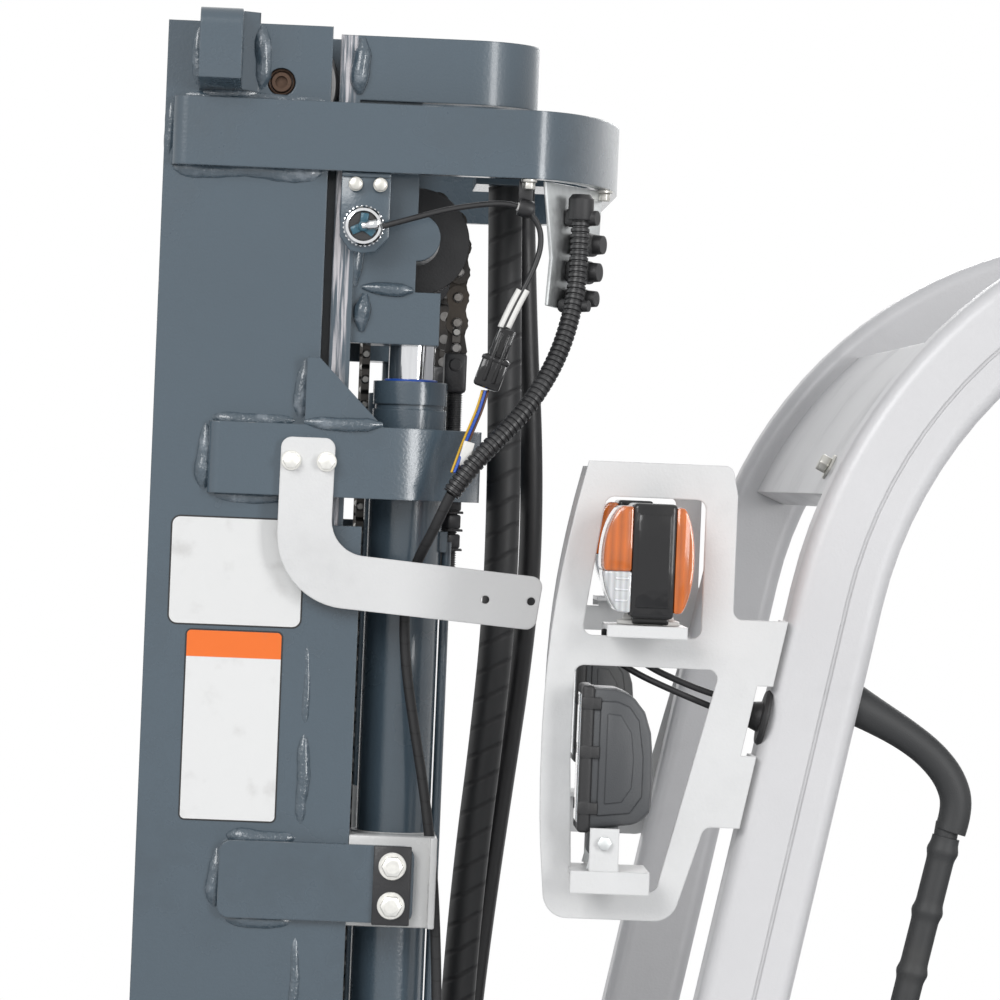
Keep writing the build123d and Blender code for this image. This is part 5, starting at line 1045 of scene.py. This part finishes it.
class TRUCK_OT_harness(Operator):
    """Fit the plug plate under the tie's curve, the plugs, clip, connector and sleeves"""
    bl_idname = "truck.harness"
    bl_label = "Sensor harness"

    def execute(self, context):
        node = "harness_fittings"
        outline = metres((174, 370, 2026), (120, 262, 2026), (121, 264, 1984), (135, 292, 1974),
                         (152, 326, 1919), (168, 358, 1921), (165.5, 353, 1962))
        sheet = plate(outline, 0.0035, Vector((0.894, -0.447, 0.0)), 0.001)
        mast_piece("plug_plate", "plated_steel", "galvanised", node, sheet)
        outward = turn_about((0, 0, 0), 63.4, UP)
        along_plate = Vector((-0.447, -0.894, 0.0))
        plugs = []
        for along, height, width, tall in metres((43, 1998, 20, 16), (58, 1976, 24, 20), (52, 1952, 26, 20),
                                                 (48, 1929, 20, 17), (32, 1922, 14, 12)):
            foot = Vector((0.172, 0.366, height)) + along_plate * along
            shell = pad((-width / 2, 0, -tall / 2), (width / 2, 0.02, tall / 2), 0.0045, 3)
            profile = [(0, 0), (tall * 0.44, 0), (tall * 0.4, 0.009), (0, 0.009)]
            collar = turned(profile, (0, 0.019, 0), LEFT, 20)
            plugs.append(moved(joined(shell, collar), Matrix.Translation(foot) @ outward))
        cap = solid_turn(Vector(CONDUIT_ROUTE[0]) - UP * 0.004, UP, 24, (10.4, 0), (11, 3), (11, 18), (8, 22))
        mast_piece("plugs", "black_plastic", "black_plastic", node, cap, *plugs)

        upper = pad((0.2028, 0.3645, 1.8745), (0.2182, 0.3795, 1.9), 0.0022)
        lower = pad((0.199, 0.362, 1.8465), (0.222, 0.382, 1.875), 0.0028)
        band = pad((0.1982, 0.3612, 1.87), (0.2228, 0.3828, 1.8735), 0.001)
        rails = [pad((x, 0.379, 1.852), (x + 0.003, 0.3832, 1.896), 0.0008) for x in (0.205, 0.213)]
        connector = moved(joined(upper, lower, band, *rails), turn_about((0.2105, 0.372, 1.873), -18.6, LEFT))
        mast_piece("connector", "black_plastic", "gloss_plastic", node, connector)

        line = route_line(SENSOR_ROUTE)
        length = len(line)
        gathered = line[int(length * 0.86):]
        sleeves = [tube([point + FORWARD * shift for point in gathered], [0.0029] * len(gathered), 4)
                   for shift in (-0.003, 0.003)]
        wrapped = line[int(length * 0.4):int(length * 0.43)]
        cuff = tube(wrapped, [0.0036] * len(wrapped), 4)
        place_piece("sleeves", joined(*sleeves, cuff), "outer_mast", "white_plastic")
        clip = ring_turn((0.191, 0.3692, 2.0022), Vector((0.96, 0.11, 0.22)), 24, (3, -6), (7.2, -6),
                         (7.8, -4), (7.8, 4), (7.2, 6), (3, 6))
        leg = pad((0.185, 0.365, 2.006), (0.197, 0.369, 2.0265), 0.001)
        mast_piece("lead_clip", "hose_rubber", "hose_rubber", node, clip, leg)
        mast_piece("tie_bolts", "plated_steel", "plated", node,
                   bolt((0.189, 0.3735, 2.0265), -UP, 0.01, 0.006, 0.0068),
                   bolt((0.1195, 0.264, 2.0265), -UP, 0.011, 0.007, 0.008))
        tag = pad((0.229, 0.393, 1.78), (0.2385, 0.3945, 1.802), 0.0006)
        place_piece("wire_tag", moved(tag, turn_about((0.234, 0.394, 1.791), -14, LEFT)), "outer_mast",
                    "white_plastic")
        return {"FINISHED"}


class TRUCK_OT_cords(Operator):
    """Lay the sensor lead, its wires, the conduit and the hoses along the mast"""
    bl_idname = "truck.cords"
    bl_label = "Cords"

    def execute(self, context):
        lay_cord("sensor_lead", SENSOR_ROUTE, 0.005, "hose_rubber", replaces=["sensor_cable"])
        for colour, shift_x, shift_y in (("brown", -0.0022, 0), ("blue", 0, 0.0022), ("yellow", 0.0022, 0),
                                         ("white", 0.0004, -0.002)):
            route = [(x + shift_x, y + shift_y, z) for x, y, z in WIRE_ROUTE]
            lay_cord(f"{colour}_wire", route, 0.0026, f"{colour}_plastic", replaces=["sensor_cable"])
        line = route_line(CONDUIT_ROUTE)
        radius = 0.0082
        pipe = place_piece("conduit", ribbed_tube(line, radius, 0.005), "outer_mast",
                           "conduit", ["sensor_conduit"], 50.0)
        for name, route, diameter, finish in (
                ("lift_hose", LIFT_HOSE_ROUTE, 0.03, "spiral_hose"),
                ("return_hose", RETURN_HOSE_ROUTE, 0.02, "hose_rubber"),
                ("tail_cable", TAIL_ROUTE, 0.009, "taped_cable")):
            lay_cord(name, route, diameter, finish, replaces=["mast_hoses"])
        return {"FINISHED"}


def right_copy(shape):
    """The right-hand twin of a left-hand lamp piece, set further back."""
    twin = moved(shape.copy(), Matrix.Translation((-LAMP_STAGGER, 0.0, 0.0)) @ Matrix.Scale(-1.0, 4, LEFT))
    bmesh.ops.recalc_face_normals(twin, faces=twin.faces)
    return twin


def paired(shape):
    """A left-hand lamp piece and its right-hand twin in one bmesh."""
    return joined(shape, right_copy(shape))


def place_lamp(name, shape, finish, stands_in=False):
    """Place a work lamp's piece on the left lamp and its twin on the right one."""
    for side, piece in (("right", right_copy(shape)), ("left", shape)):
        body = f"work_lamp_{side}"
        place_piece(f"{name}_{side}", piece, body, finish, [body] if stands_in else ())


def bulged(face_x, tip_x, span, cut):
    """Side outline of a lens: a straight back at face_x and an arc out to tip_x, kept between two heights."""
    middle = (span[0] + span[1]) / 2
    half = (span[1] - span[0]) / 2
    low, high = max(span[0], cut[0]), min(span[1], cut[1])
    steps = 14
    outline = [(face_x, low)]
    for index in range(steps + 1):
        height = low + (high - low) * index / steps
        part = (height - middle) / half
        outline.append((face_x + (tip_x - face_x) * math.sqrt(1.0 - 0.82 * part * part), height))
    return [*outline, (face_x, high)]


class TRUCK_OT_indicators(Operator):
    """Build the indicator lamps on the guard's brackets"""
    bl_idname = "truck.indicators"
    bl_label = "Indicator lamps"

    def execute(self, context):
        low, high = LAMP_Y - 0.042, LAMP_Y + 0.042
        band = pad((0.063, low, 1.662), (0.099, high, 1.756), 0.0035, 3)
        panel = pad((0.0675, low - 0.001, 1.671), (0.0945, high + 0.001, 1.747), 0.001)
        foot = pad((0.066, LAMP_Y - 0.03, 1.657), (0.096, LAMP_Y + 0.03, 1.664), 0.0015)
        span = (1.6665, 1.7535)
        split = 1.7
        inner_low, inner_high = low + 0.001, high - 0.001
        upper = swept(bulged(0.0985, 0.122, span, (split, span[1])), inner_low, inner_high, 0.0026)
        rear = swept(bulged(0.0635, 0.0475, span, span), inner_low, inner_high, 0.0026)
        lower = swept(bulged(0.0985, 0.1216, span, (span[0], split)), inner_low, inner_high, 0.0016)
        for name, shape, finish in (("indicator_cases", joined(band, panel, foot), "gloss_plastic"),
                                    ("amber_lenses", joined(upper, rear), "amber_lens"),
                                    ("clear_lenses", lower, "clear_lens")):
            place_piece(name, paired(shape), "chassis", finish, ["indicator_lamps"])
        ribs = [pad((0.101, low + 0.003, height), (0.112, high, height + 0.0022), 0.0008)
                for height in (1.675, 1.684, 1.693)]
        place_piece("lens_ribs", paired(joined(*ribs)), "chassis", "clear_lens")
        neck = solid_turn((0.081, LAMP_Y, 1.6563), UP, 40, (26, 0), (26, 3), (21.5, 4.5), (20, 8.5))
        place_piece("lamp_necks", paired(neck), "chassis", "white_plastic")
        return {"FINISHED"}


# Side outlines of a work lamp: its shell, the raised panel and core on its side, and the ears that hold it
LAMP_SHELL = metres((130, 1604), (106, 1603.5), (93.5, 1599), (82, 1585), (76.5, 1568), (74.5, 1548),
                    (74, 1524), (74.5, 1503), (85.5, 1493), (130, 1487))
LAMP_PANEL = metres((119, 1593), (105, 1593), (95, 1589), (87, 1578), (82.5, 1548), (82.5, 1516), (92, 1502),
                    (119, 1499))
LAMP_CORE = metres((113, 1583), (102, 1582), (93, 1568), (90.5, 1546), (91.5, 1523), (99, 1511), (113, 1509))
LAMP_EAR = metres((99, 1456), (126, 1456), (122.5, 1470), (119.5, 1488), (104.5, 1488), (101.5, 1470))


class TRUCK_OT_work_lamps(Operator):
    """Build the work lamps, their rims, lenses, feet and leads"""
    bl_idname = "truck.work_lamps"
    bl_label = "Work lamps"

    def execute(self, context):
        low, high = LAMP_Y - 0.031, LAMP_Y + 0.031
        layers = [swept(outline, low - rise, high + rise, bevel) for outline, rise, bevel in (
            (LAMP_SHELL, 0.0, 0.005), (LAMP_PANEL, 0.002, 0.0016), (LAMP_CORE, 0.0032, 0.001))]
        foot = pad((0.1, LAMP_Y - 0.025, 1.466), (0.124, LAMP_Y + 0.025, 1.501), 0.003)
        place_lamp("work_lamp_shell", joined(*layers, foot), "grey_plastic", True)
        rim = pad((0.124, low - 0.0028, 1.485), (0.1345, high + 0.0028, 1.6055), 0.003, 3)
        clips = [pad((0.1185, side, height), (0.135, side + 0.002, height + 0.01), 0.0008)
                 for height in (1.5, 1.546, 1.586) for side in (low - 0.003, high + 0.001)]
        place_lamp("work_lamp_rim", joined(rim, *clips), "black_plastic")
        lens = pad((0.13, low + 0.006, 1.492), (0.1348, high - 0.006, 1.5985), 0.0012)
        place_lamp("work_lamp_lens", lens, "led_lens")

        ears = [swept(LAMP_EAR, LAMP_Y + offset, LAMP_Y + offset + 0.002, 0.0006)
                for offset in (0.0358, -0.0378)]
        pins = [bolt((0.112, LAMP_Y + sign * 0.0376, 1.4775), LEFT * sign, 0.0105, 0.0046, 0.0085)
                for sign in (1, -1)]
        place_piece("lamp_ears", paired(joined(*ears, *pins)), "chassis", "galvanised")

        for name, route in (("upper_lamp_lead", UPPER_LEAD_ROUTE), ("lower_lamp_lead", LOWER_LEAD_ROUTE)):
            lay_cord(name, route, 0.0055, "hose_rubber", "chassis")
        grommet = solid_turn((-0.0215, 0.482, 1.582), Vector((0.98, 0.0, 0.199)), 40, (24, 0), (24, 2),
                             (21.5, 5), (13, 5.5), (11, 13), (8.5, 14))
        place_piece("pillar_grommet", grommet, "chassis", "black_plastic")
        header = bolt((-0.0988, 0.165, 1.7942), Vector((0.8934, 0.0, 0.4493)), 0.015, 0.009, 0.012)
        place_piece("header_bolt", header, "chassis", "plated")
        return {"FINISHED"}


class TRUCK_OT_handle(Operator):
    """Build the grab handle: a flared elbow and a grip with finger rests"""
    bl_idname = "truck.handle"
    bl_label = "Grab handle"

    def execute(self, context):
        line = spaced(route_line(HANDLE_ROUTE), 0.0035)
        flared_share = 0.55
        radii = []
        for index in range(len(line)):
            flare = max(0.0, 1.0 - index / (len(line) - 1) / flared_share)
            radii.append(0.0132 + 0.0062 * flare * flare)
        elbow = tube(line, radii, 7)
        line = spaced(route_line(GRIP_ROUTE), 0.0025)
        ridge_pitch, first_ridge, last_ridge = 0.052, 0.012, 0.232
        radii = []
        run = 0.0
        for index, spot in enumerate(line):
            if index:
                run += (spot - line[index - 1]).length
            ridge = max(0.0, math.cos((run - first_ridge) / ridge_pitch * math.tau)) ** 6
            radii.append((0.0116 + 0.0018 * ridge) if run < last_ridge else 0.0124)
        grip = tube(line, radii, 7)
        core = tube([line[0] + Vector((-0.001, 0, 0.012)), line[3]], [0.01, 0.01], 5)
        place_piece("handle", joined(elbow, grip, core), "chassis", "handle_rubber",
                    ["grab_handle"], 50.0)
        return {"FINISHED"}


def film(low, high, radius, depth):
    """A thin rounded film on the mast's left face, between two (x, z) corners."""
    left, bottom = low[0] + radius, low[1] + radius
    right, top = high[0] - radius, high[1] - radius
    outline = []
    for quarter, (x, z) in enumerate(((right, top), (left, top), (left, bottom), (right, bottom))):
        for step in range(0, 91, 15):
            turn = math.radians(quarter * 90 + step)
            outline.append((x + radius * math.cos(turn), MAST_FACE_Y, z + radius * math.sin(turn)))
    return plate(outline, depth)


class TRUCK_OT_labels(Operator):
    """Stick the blank films on the mast's left side"""
    bl_idname = "truck.labels"
    bl_label = "Blank labels"

    def execute(self, context):
        edge = 0.0013
        borders = []
        for name, finish, low, high, radius in (
                ("square_film", "white_film", (0.367, 1.637), (0.481, 1.73), 0.008),
                ("tall_film", "banded_film", (0.382, 1.471), (0.465, 1.634), 0.005)):
            inner = film([part + edge for part in low], [part - edge for part in high], radius - edge, 0.0007)
            place_piece(name, inner, "outer_mast", finish)
            borders.append(film(low, high, radius, 0.0005))
        place_piece("film_borders", joined(*borders), "outer_mast", "black_plastic")
        return {"FINISHED"}


def lugged_tyre(centre, radius, rim, half, count):
    """A solid tyre: a turned carcass with slanted lugs on both halves of its tread."""
    tread = radius * 0.955
    side = [(rim + 0.0005, -half * 0.9), (rim + 0.01, -half * 0.985), (rim + 0.016, -half),
            (radius * 0.8, -half), (radius * 0.81, -half * 0.975), (radius * 0.835, -half * 0.975),
            (radius * 0.845, -half), (radius * 0.9, -half * 0.985), (tread, -half * 0.9)]
    profile = [*side, *((reach, -height) for reach, height in reversed(side)), side[0]]
    parts = [turned(profile, centre, LEFT, 72)]
    root = tread - 0.006
    tip = radius - 0.0015
    width = radius * 0.062
    for index in range(count * 2):
        way = 1 if index % 2 else -1
        flat = [(-width, 0.008), (width, 0.008), (width * 1.5, half * 0.6), (width * 1.7, half * 0.965),
                (-width * 0.5, half * 0.965), (-width * 0.7, half * 0.6)]
        lug = plate([centre + Vector((x, y * way, root)) for x, y in flat], tip - root, UP, 0.004)
        parts.append(moved(lug, turn_about(centre, 180 / count * index, LEFT)))
    return joined(*parts)


class TRUCK_OT_wheels(Operator):
    """Build the solid tyres with their lugs, and the wheel nuts and hub caps"""
    bl_idname = "truck.wheels"
    bl_label = "Wheels"

    def execute(self, context):
        for end, lugs, nuts, nut_circle, face, hub_face, cap in (
                ("front", 22, 8, 0.105, -0.025, 0.01, 0.056), ("rear", 19, 6, 0.085, -0.002, 0.03, 0.046)):
            for side, outward in (("left", LEFT), ("right", -LEFT)):
                wheel = f"{end}_wheel_{side}"
                tyre = f"{end}_tyre_{side}"
                low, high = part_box(tyre)
                rim_low, rim_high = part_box(wheel)
                centre = (low + high) / 2
                rubber_ring = lugged_tyre(centre, (high.z - low.z) / 2, (rim_high.z - rim_low.z) / 2,
                                          (high.y - low.y) / 2, lugs)
                place_piece(f"{tyre}_tread", rubber_ring, wheel, "tyre_rubber", [tyre])
                disc = centre + outward * face
                heads = [bolt(disc + spoke(index, nuts) * nut_circle, outward, 0.027, 0.02, 0.018)
                         for index in range(nuts)]
                place_piece(f"{wheel}_nuts", joined(*heads), wheel, "plated")
                profile = [(0, 0), (cap, 0), (cap, 0.006), (cap * 0.93, 0.016), (cap * 0.7, 0.022),
                           (0, 0.025)]
                dome = turned(profile, centre + outward * (hub_face + 0.0003), outward, 40)
                place_piece(f"{wheel}_cap", dome, wheel, "black_plastic")
        return {"FINISHED"}


def discard(holder):
    """Remove a helper object and its mesh."""
    mesh = holder.data
    bpy.data.objects.remove(holder)
    bpy.data.meshes.remove(mesh)


def fine_skin(node):
    """A solid's mesh, shrunk a little, cut into even cells and rounded."""
    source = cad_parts[node]
    shape = bmesh.new()
    shape.from_mesh(source.data)
    moved(shape, source.matrix_world)
    low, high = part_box(node)
    middle = (low + high) / 2
    shrink = Matrix.Diagonal((0.965, 0.965, 0.94, 1.0))
    moved(shape, Matrix.Translation(middle) @ shrink @ Matrix.Translation(-middle))
    holder = linked("skin", stored("skin", shape))
    cells = holder.modifiers.new("cells", "REMESH")
    cells.mode = "VOXEL"
    cells.voxel_size = SEAT_CELL
    shape = opened(evaluated(holder))
    discard(holder)
    for _ in range(14):
        bmesh.ops.smooth_vert(shape, verts=shape.verts, factor=0.5, use_axis_x=True, use_axis_y=True,
                              use_axis_z=True)
    return shape


def swollen(shape):
    """Blow a closed skin up as cloth, with every point's way limited."""
    scene = bpy.context.scene
    mesh = bpy.data.meshes.new("cloth")
    shape.to_mesh(mesh)
    holder = linked("cloth", mesh)
    cloth = holder.modifiers.new("cloth", "CLOTH")
    cloth.settings.use_pressure = True
    cloth.settings.uniform_pressure_force = 4.0
    cloth.settings.effector_weights.gravity = 0.0
    cloth.point_cache.frame_end = SEAT_FRAMES
    for number in range(1, SEAT_FRAMES + 1):
        scene.frame_set(number)
    full = evaluated(holder)
    for point, end in zip(shape.verts, full.vertices):
        way = end.co - point.co
        point.co += way * min(1.0, SEAT_SWELL / max(way.length, 1e-6))
    scene.frame_set(1)
    discard(holder)
    bpy.data.meshes.remove(full)
    return shape


# Seams of the seat: their places across it, half width and depth, and the lean of a face that has them
SEAM_LINES = (0.115, 0.165)
SEAM_WIDTH = 0.006
SEAM_DEPTH = 0.007
SEAM_LEAN = 0.35
# The seam round a cushion's face: the lean where it lies, its spread, and its depth there and at the ends
EDGE_LEAN = 0.3
EDGE_SPREAD = 0.1
EDGE_DEPTH = 0.004
END_DEPTH = 0.003


def quilted(shape, width, facing):
    """Sink seams into a cushion: lines along it, and one round the edge of its face."""
    shape.normal_update()
    for point in shape.verts:
        lean = point.normal.dot(facing)
        across = abs(point.co.y)
        sink = 0.0
        if lean > SEAM_LEAN:
            sink = max(math.exp(-((across - line) / SEAM_WIDTH) ** 2) for line in SEAM_LINES)
        ring = math.exp(-((lean - EDGE_LEAN) / EDGE_SPREAD) ** 2)
        depth = EDGE_DEPTH if across < width * 0.49 else END_DEPTH
        point.co -= point.normal * (SEAM_DEPTH * sink + depth * ring)
    return shape


class TRUCK_OT_seat(Operator):
    """Blow up the seat's cushions as cloth and sink their seams"""
    bl_idname = "truck.seat"
    bl_label = "Seat"

    def execute(self, context):
        for node, facing in (("seat_cushion", UP), ("seat_back_cushion", Vector((0.98, 0.0, 0.2)))):
            low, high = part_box(node)
            shape = fine_skin(node)
            shape = swollen(shape)
            shape = quilted(shape, high.y - low.y, facing)
            piece = place_piece(f"{node}_cover", shape, "seat", "seat_vinyl", [node], 60.0)
            finer = piece.modifiers.new("finer", "SUBSURF")
            finer.levels = 1
            finer.render_levels = 1
        return {"FINISHED"}


class TRUCK_OT_cab(Operator):
    """Add pedal treads, the floor mat, the stop button's collar and the hood's slats and latch"""
    bl_idname = "truck.cab"
    bl_label = "Driver's place"

    def execute(self, context):
        along = Vector((1.0, 0.0, 1.0)).normalized()
        normal = Vector((-1.0, 0.0, 1.0)).normalized()
        lie = Matrix((along, LEFT, normal)).transposed().to_4x4()
        for body in ("accelerator", "brake"):
            low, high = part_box(f"{body}_pedal")
            ribs = [pad((0.034 + step * 0.011, -0.036, 0.0096), (0.04 + step * 0.011, 0.036, 0.0122), 0.0008)
                    for step in range(10)]
            sole = pad((0.028, -0.038, 0.009), (0.147, 0.038, 0.0106), 0.0008)
            place = Matrix.Translation((PEDAL_X, (low.y + high.y) / 2, PEDAL_Z)) @ lie
            tread = moved(joined(sole, *ribs), place)
            place_piece(f"{body}_tread", tread, body, "hose_rubber")

        mat = [pad((-0.285, -0.34, 0.515), (-0.075, 0.34, 0.518), 0.001)]
        for step in range(33):
            rib_y = -0.33 + step * 0.02
            mat.append(pad((-0.278, rib_y, 0.5175), (-0.082, rib_y + 0.009, 0.52), 0.0008))
        place_piece("floor_mat", joined(*mat), "chassis", "hose_rubber")

        low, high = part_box("emergency_stop")
        middle = (low + high) / 2
        collar = ring_turn((middle.x, middle.y, low.z + 0.0122), UP, 40, (21.2, 0), (25.8, 0), (25.8, 1.4),
                           (25, 2.2), (21.2, 2.2))
        place_piece("stop_collar", collar, "chassis", "yellow_plastic")

        low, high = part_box("battery_hood")
        slats = []
        for step in range(7):
            height = 0.69 + step * 0.022
            slat = pad((-0.86, high.y - 0.002, height), (-0.56, high.y + 0.005, height + 0.01), 0.0022, 3)
            slats.append(moved(slat, turn_about((-0.7, high.y, height), 14, FORWARD)))
        place_piece("hood_slats", mirrored(joined(*slats)), "hood", "black_plastic")
        latch = pad((low.x + 0.34, high.y - 0.001, 0.6), (low.x + 0.39, high.y + 0.006, 0.632), 0.002, 3)
        knob = solid_turn((low.x + 0.365, high.y + 0.0055, 0.616), LEFT, 24, (10, 0), (10, 4), (8, 6))
        place_piece("hood_latches", mirrored(joined(latch, knob)), "hood", "plated")
        return {"FINISHED"}


def lamp(name, place, aim, size, power, tall=1.0):
    """A soft box that looks at a point."""
    data = bpy.data.lights.new(name, "AREA")
    data.shape = "RECTANGLE"
    data.size = size
    data.size_y = size * tall
    data.energy = power
    light = linked(name, data)
    light.location = place
    light.rotation_euler = (Vector(aim) - Vector(place)).to_track_quat("-Z", "Y").to_euler()


class TRUCK_OT_stage(Operator):
    """Set the floor, the soft light and the camera"""
    bl_idname = "truck.stage"
    bl_label = "Stage"

    def execute(self, context):
        scene = context.scene
        scene.view_settings.view_transform = "Standard"
        shape = bmesh.new()
        bmesh.ops.create_circle(shape, cap_ends=True, segments=96, radius=6.0)
        floor = linked("floor", stored("floor", shape))
        ground = Finish("floor_paint")
        cloud = ground.noise(3.0)
        floor.data.materials.append(ground.surface(
            ground.mix(cloud, rgba(grey(0.78)), rgba(grey(0.82))), 0.7, cloud, 0.0002))

        world = bpy.data.worlds.new("studio")
        world.use_nodes = True
        nodes, links = world.node_tree.nodes, world.node_tree.links
        light = nodes["Background"]
        light.inputs["Color"].default_value = (0.86, 0.88, 0.92, 1.0)
        light.inputs["Strength"].default_value = 0.52
        white = nodes.new("ShaderNodeBackground")
        white.inputs["Color"].default_value = (1.0, 1.0, 1.0, 1.0)
        path = nodes.new("ShaderNodeLightPath")
        seen = path.outputs["Is Camera Ray"]
        for ray in ("Is Glossy Ray", "Is Transmission Ray"):
            either = nodes.new("ShaderNodeMath")
            either.operation = "MAXIMUM"
            links.new(seen, either.inputs[0])
            links.new(path.outputs[ray], either.inputs[1])
            seen = either.outputs[0]
        choice = nodes.new("ShaderNodeMixShader")
        for index, output in enumerate((seen, light.outputs[0], white.outputs[0])):
            links.new(output, choice.inputs[index])
        links.new(choice.outputs[0], nodes["World Output"].inputs["Surface"])
        scene.world = world
        lamp("key", (2.6, 4.6, 4.2), (0.2, 0.0, 1.4), 2.5, 150.0)
        lamp("side", (-2.3, 3.4, 2.3), (0.1, 0.2, 1.8), 0.8, 60.0, 2.4)
        lamp("back", (-1.5, -4.5, 4.0), (0.0, 0.0, 1.0), 3.0, 110.0)

        view = scene.truck_view
        data = bpy.data.cameras.new("camera")
        data.lens = view.lens
        data.sensor_width = 36.0
        camera = linked("camera", data)
        forward = Vector((-math.sin(view.yaw), -math.cos(view.yaw), -math.tan(view.pitch)))
        facing = forward.to_track_quat("-Z", "Y").to_matrix().to_4x4()
        camera.matrix_world = Matrix.Translation(view.place) @ facing @ Matrix.Rotation(view.roll, 4, "Z")
        scene.camera = camera
        return {"FINISHED"}


OPERATORS = (
    TRUCK_OT_finishes, TRUCK_OT_welds, TRUCK_OT_sensor, TRUCK_OT_chains, TRUCK_OT_fasteners,
    TRUCK_OT_harness, TRUCK_OT_cords, TRUCK_OT_indicators, TRUCK_OT_work_lamps, TRUCK_OT_handle,
    TRUCK_OT_labels, TRUCK_OT_wheels, TRUCK_OT_seat, TRUCK_OT_cab, TRUCK_OT_stage)


class TRUCK_PT_sidebar(Panel):
    """Buttons for every group of pieces"""
    bl_idname = "TRUCK_PT_sidebar"
    bl_label = "Forklift"
    bl_space_type = "VIEW_3D"
    bl_region_type = "UI"
    bl_category = "Forklift"

    def draw(self, context):
        for group in (context.scene.truck_colours, context.scene.truck_view):
            for key in group.__annotations__:
                self.layout.prop(group, key)
        for operator in OPERATORS:
            self.layout.operator(operator.bl_idname)


CLASSES = (TruckColours, TruckView, *OPERATORS, TRUCK_PT_sidebar)


def register():
    """Add the classes and the scene's properties."""
    for cls in CLASSES:
        bpy.utils.register_class(cls)
    bpy.types.Scene.truck_colours = PointerProperty(type=TruckColours)
    bpy.types.Scene.truck_view = PointerProperty(type=TruckView)


def unregister():
    """Take them out again."""
    del bpy.types.Scene.truck_view
    del bpy.types.Scene.truck_colours
    for cls in reversed(CLASSES):
        bpy.utils.unregister_class(cls)


def main():
    """Run every operator."""
    register()
    for operator in OPERATORS:
        group, name = operator.bl_idname.split(".")
        getattr(getattr(bpy.ops, group), name)()


if __name__ == "__main__":
    main()
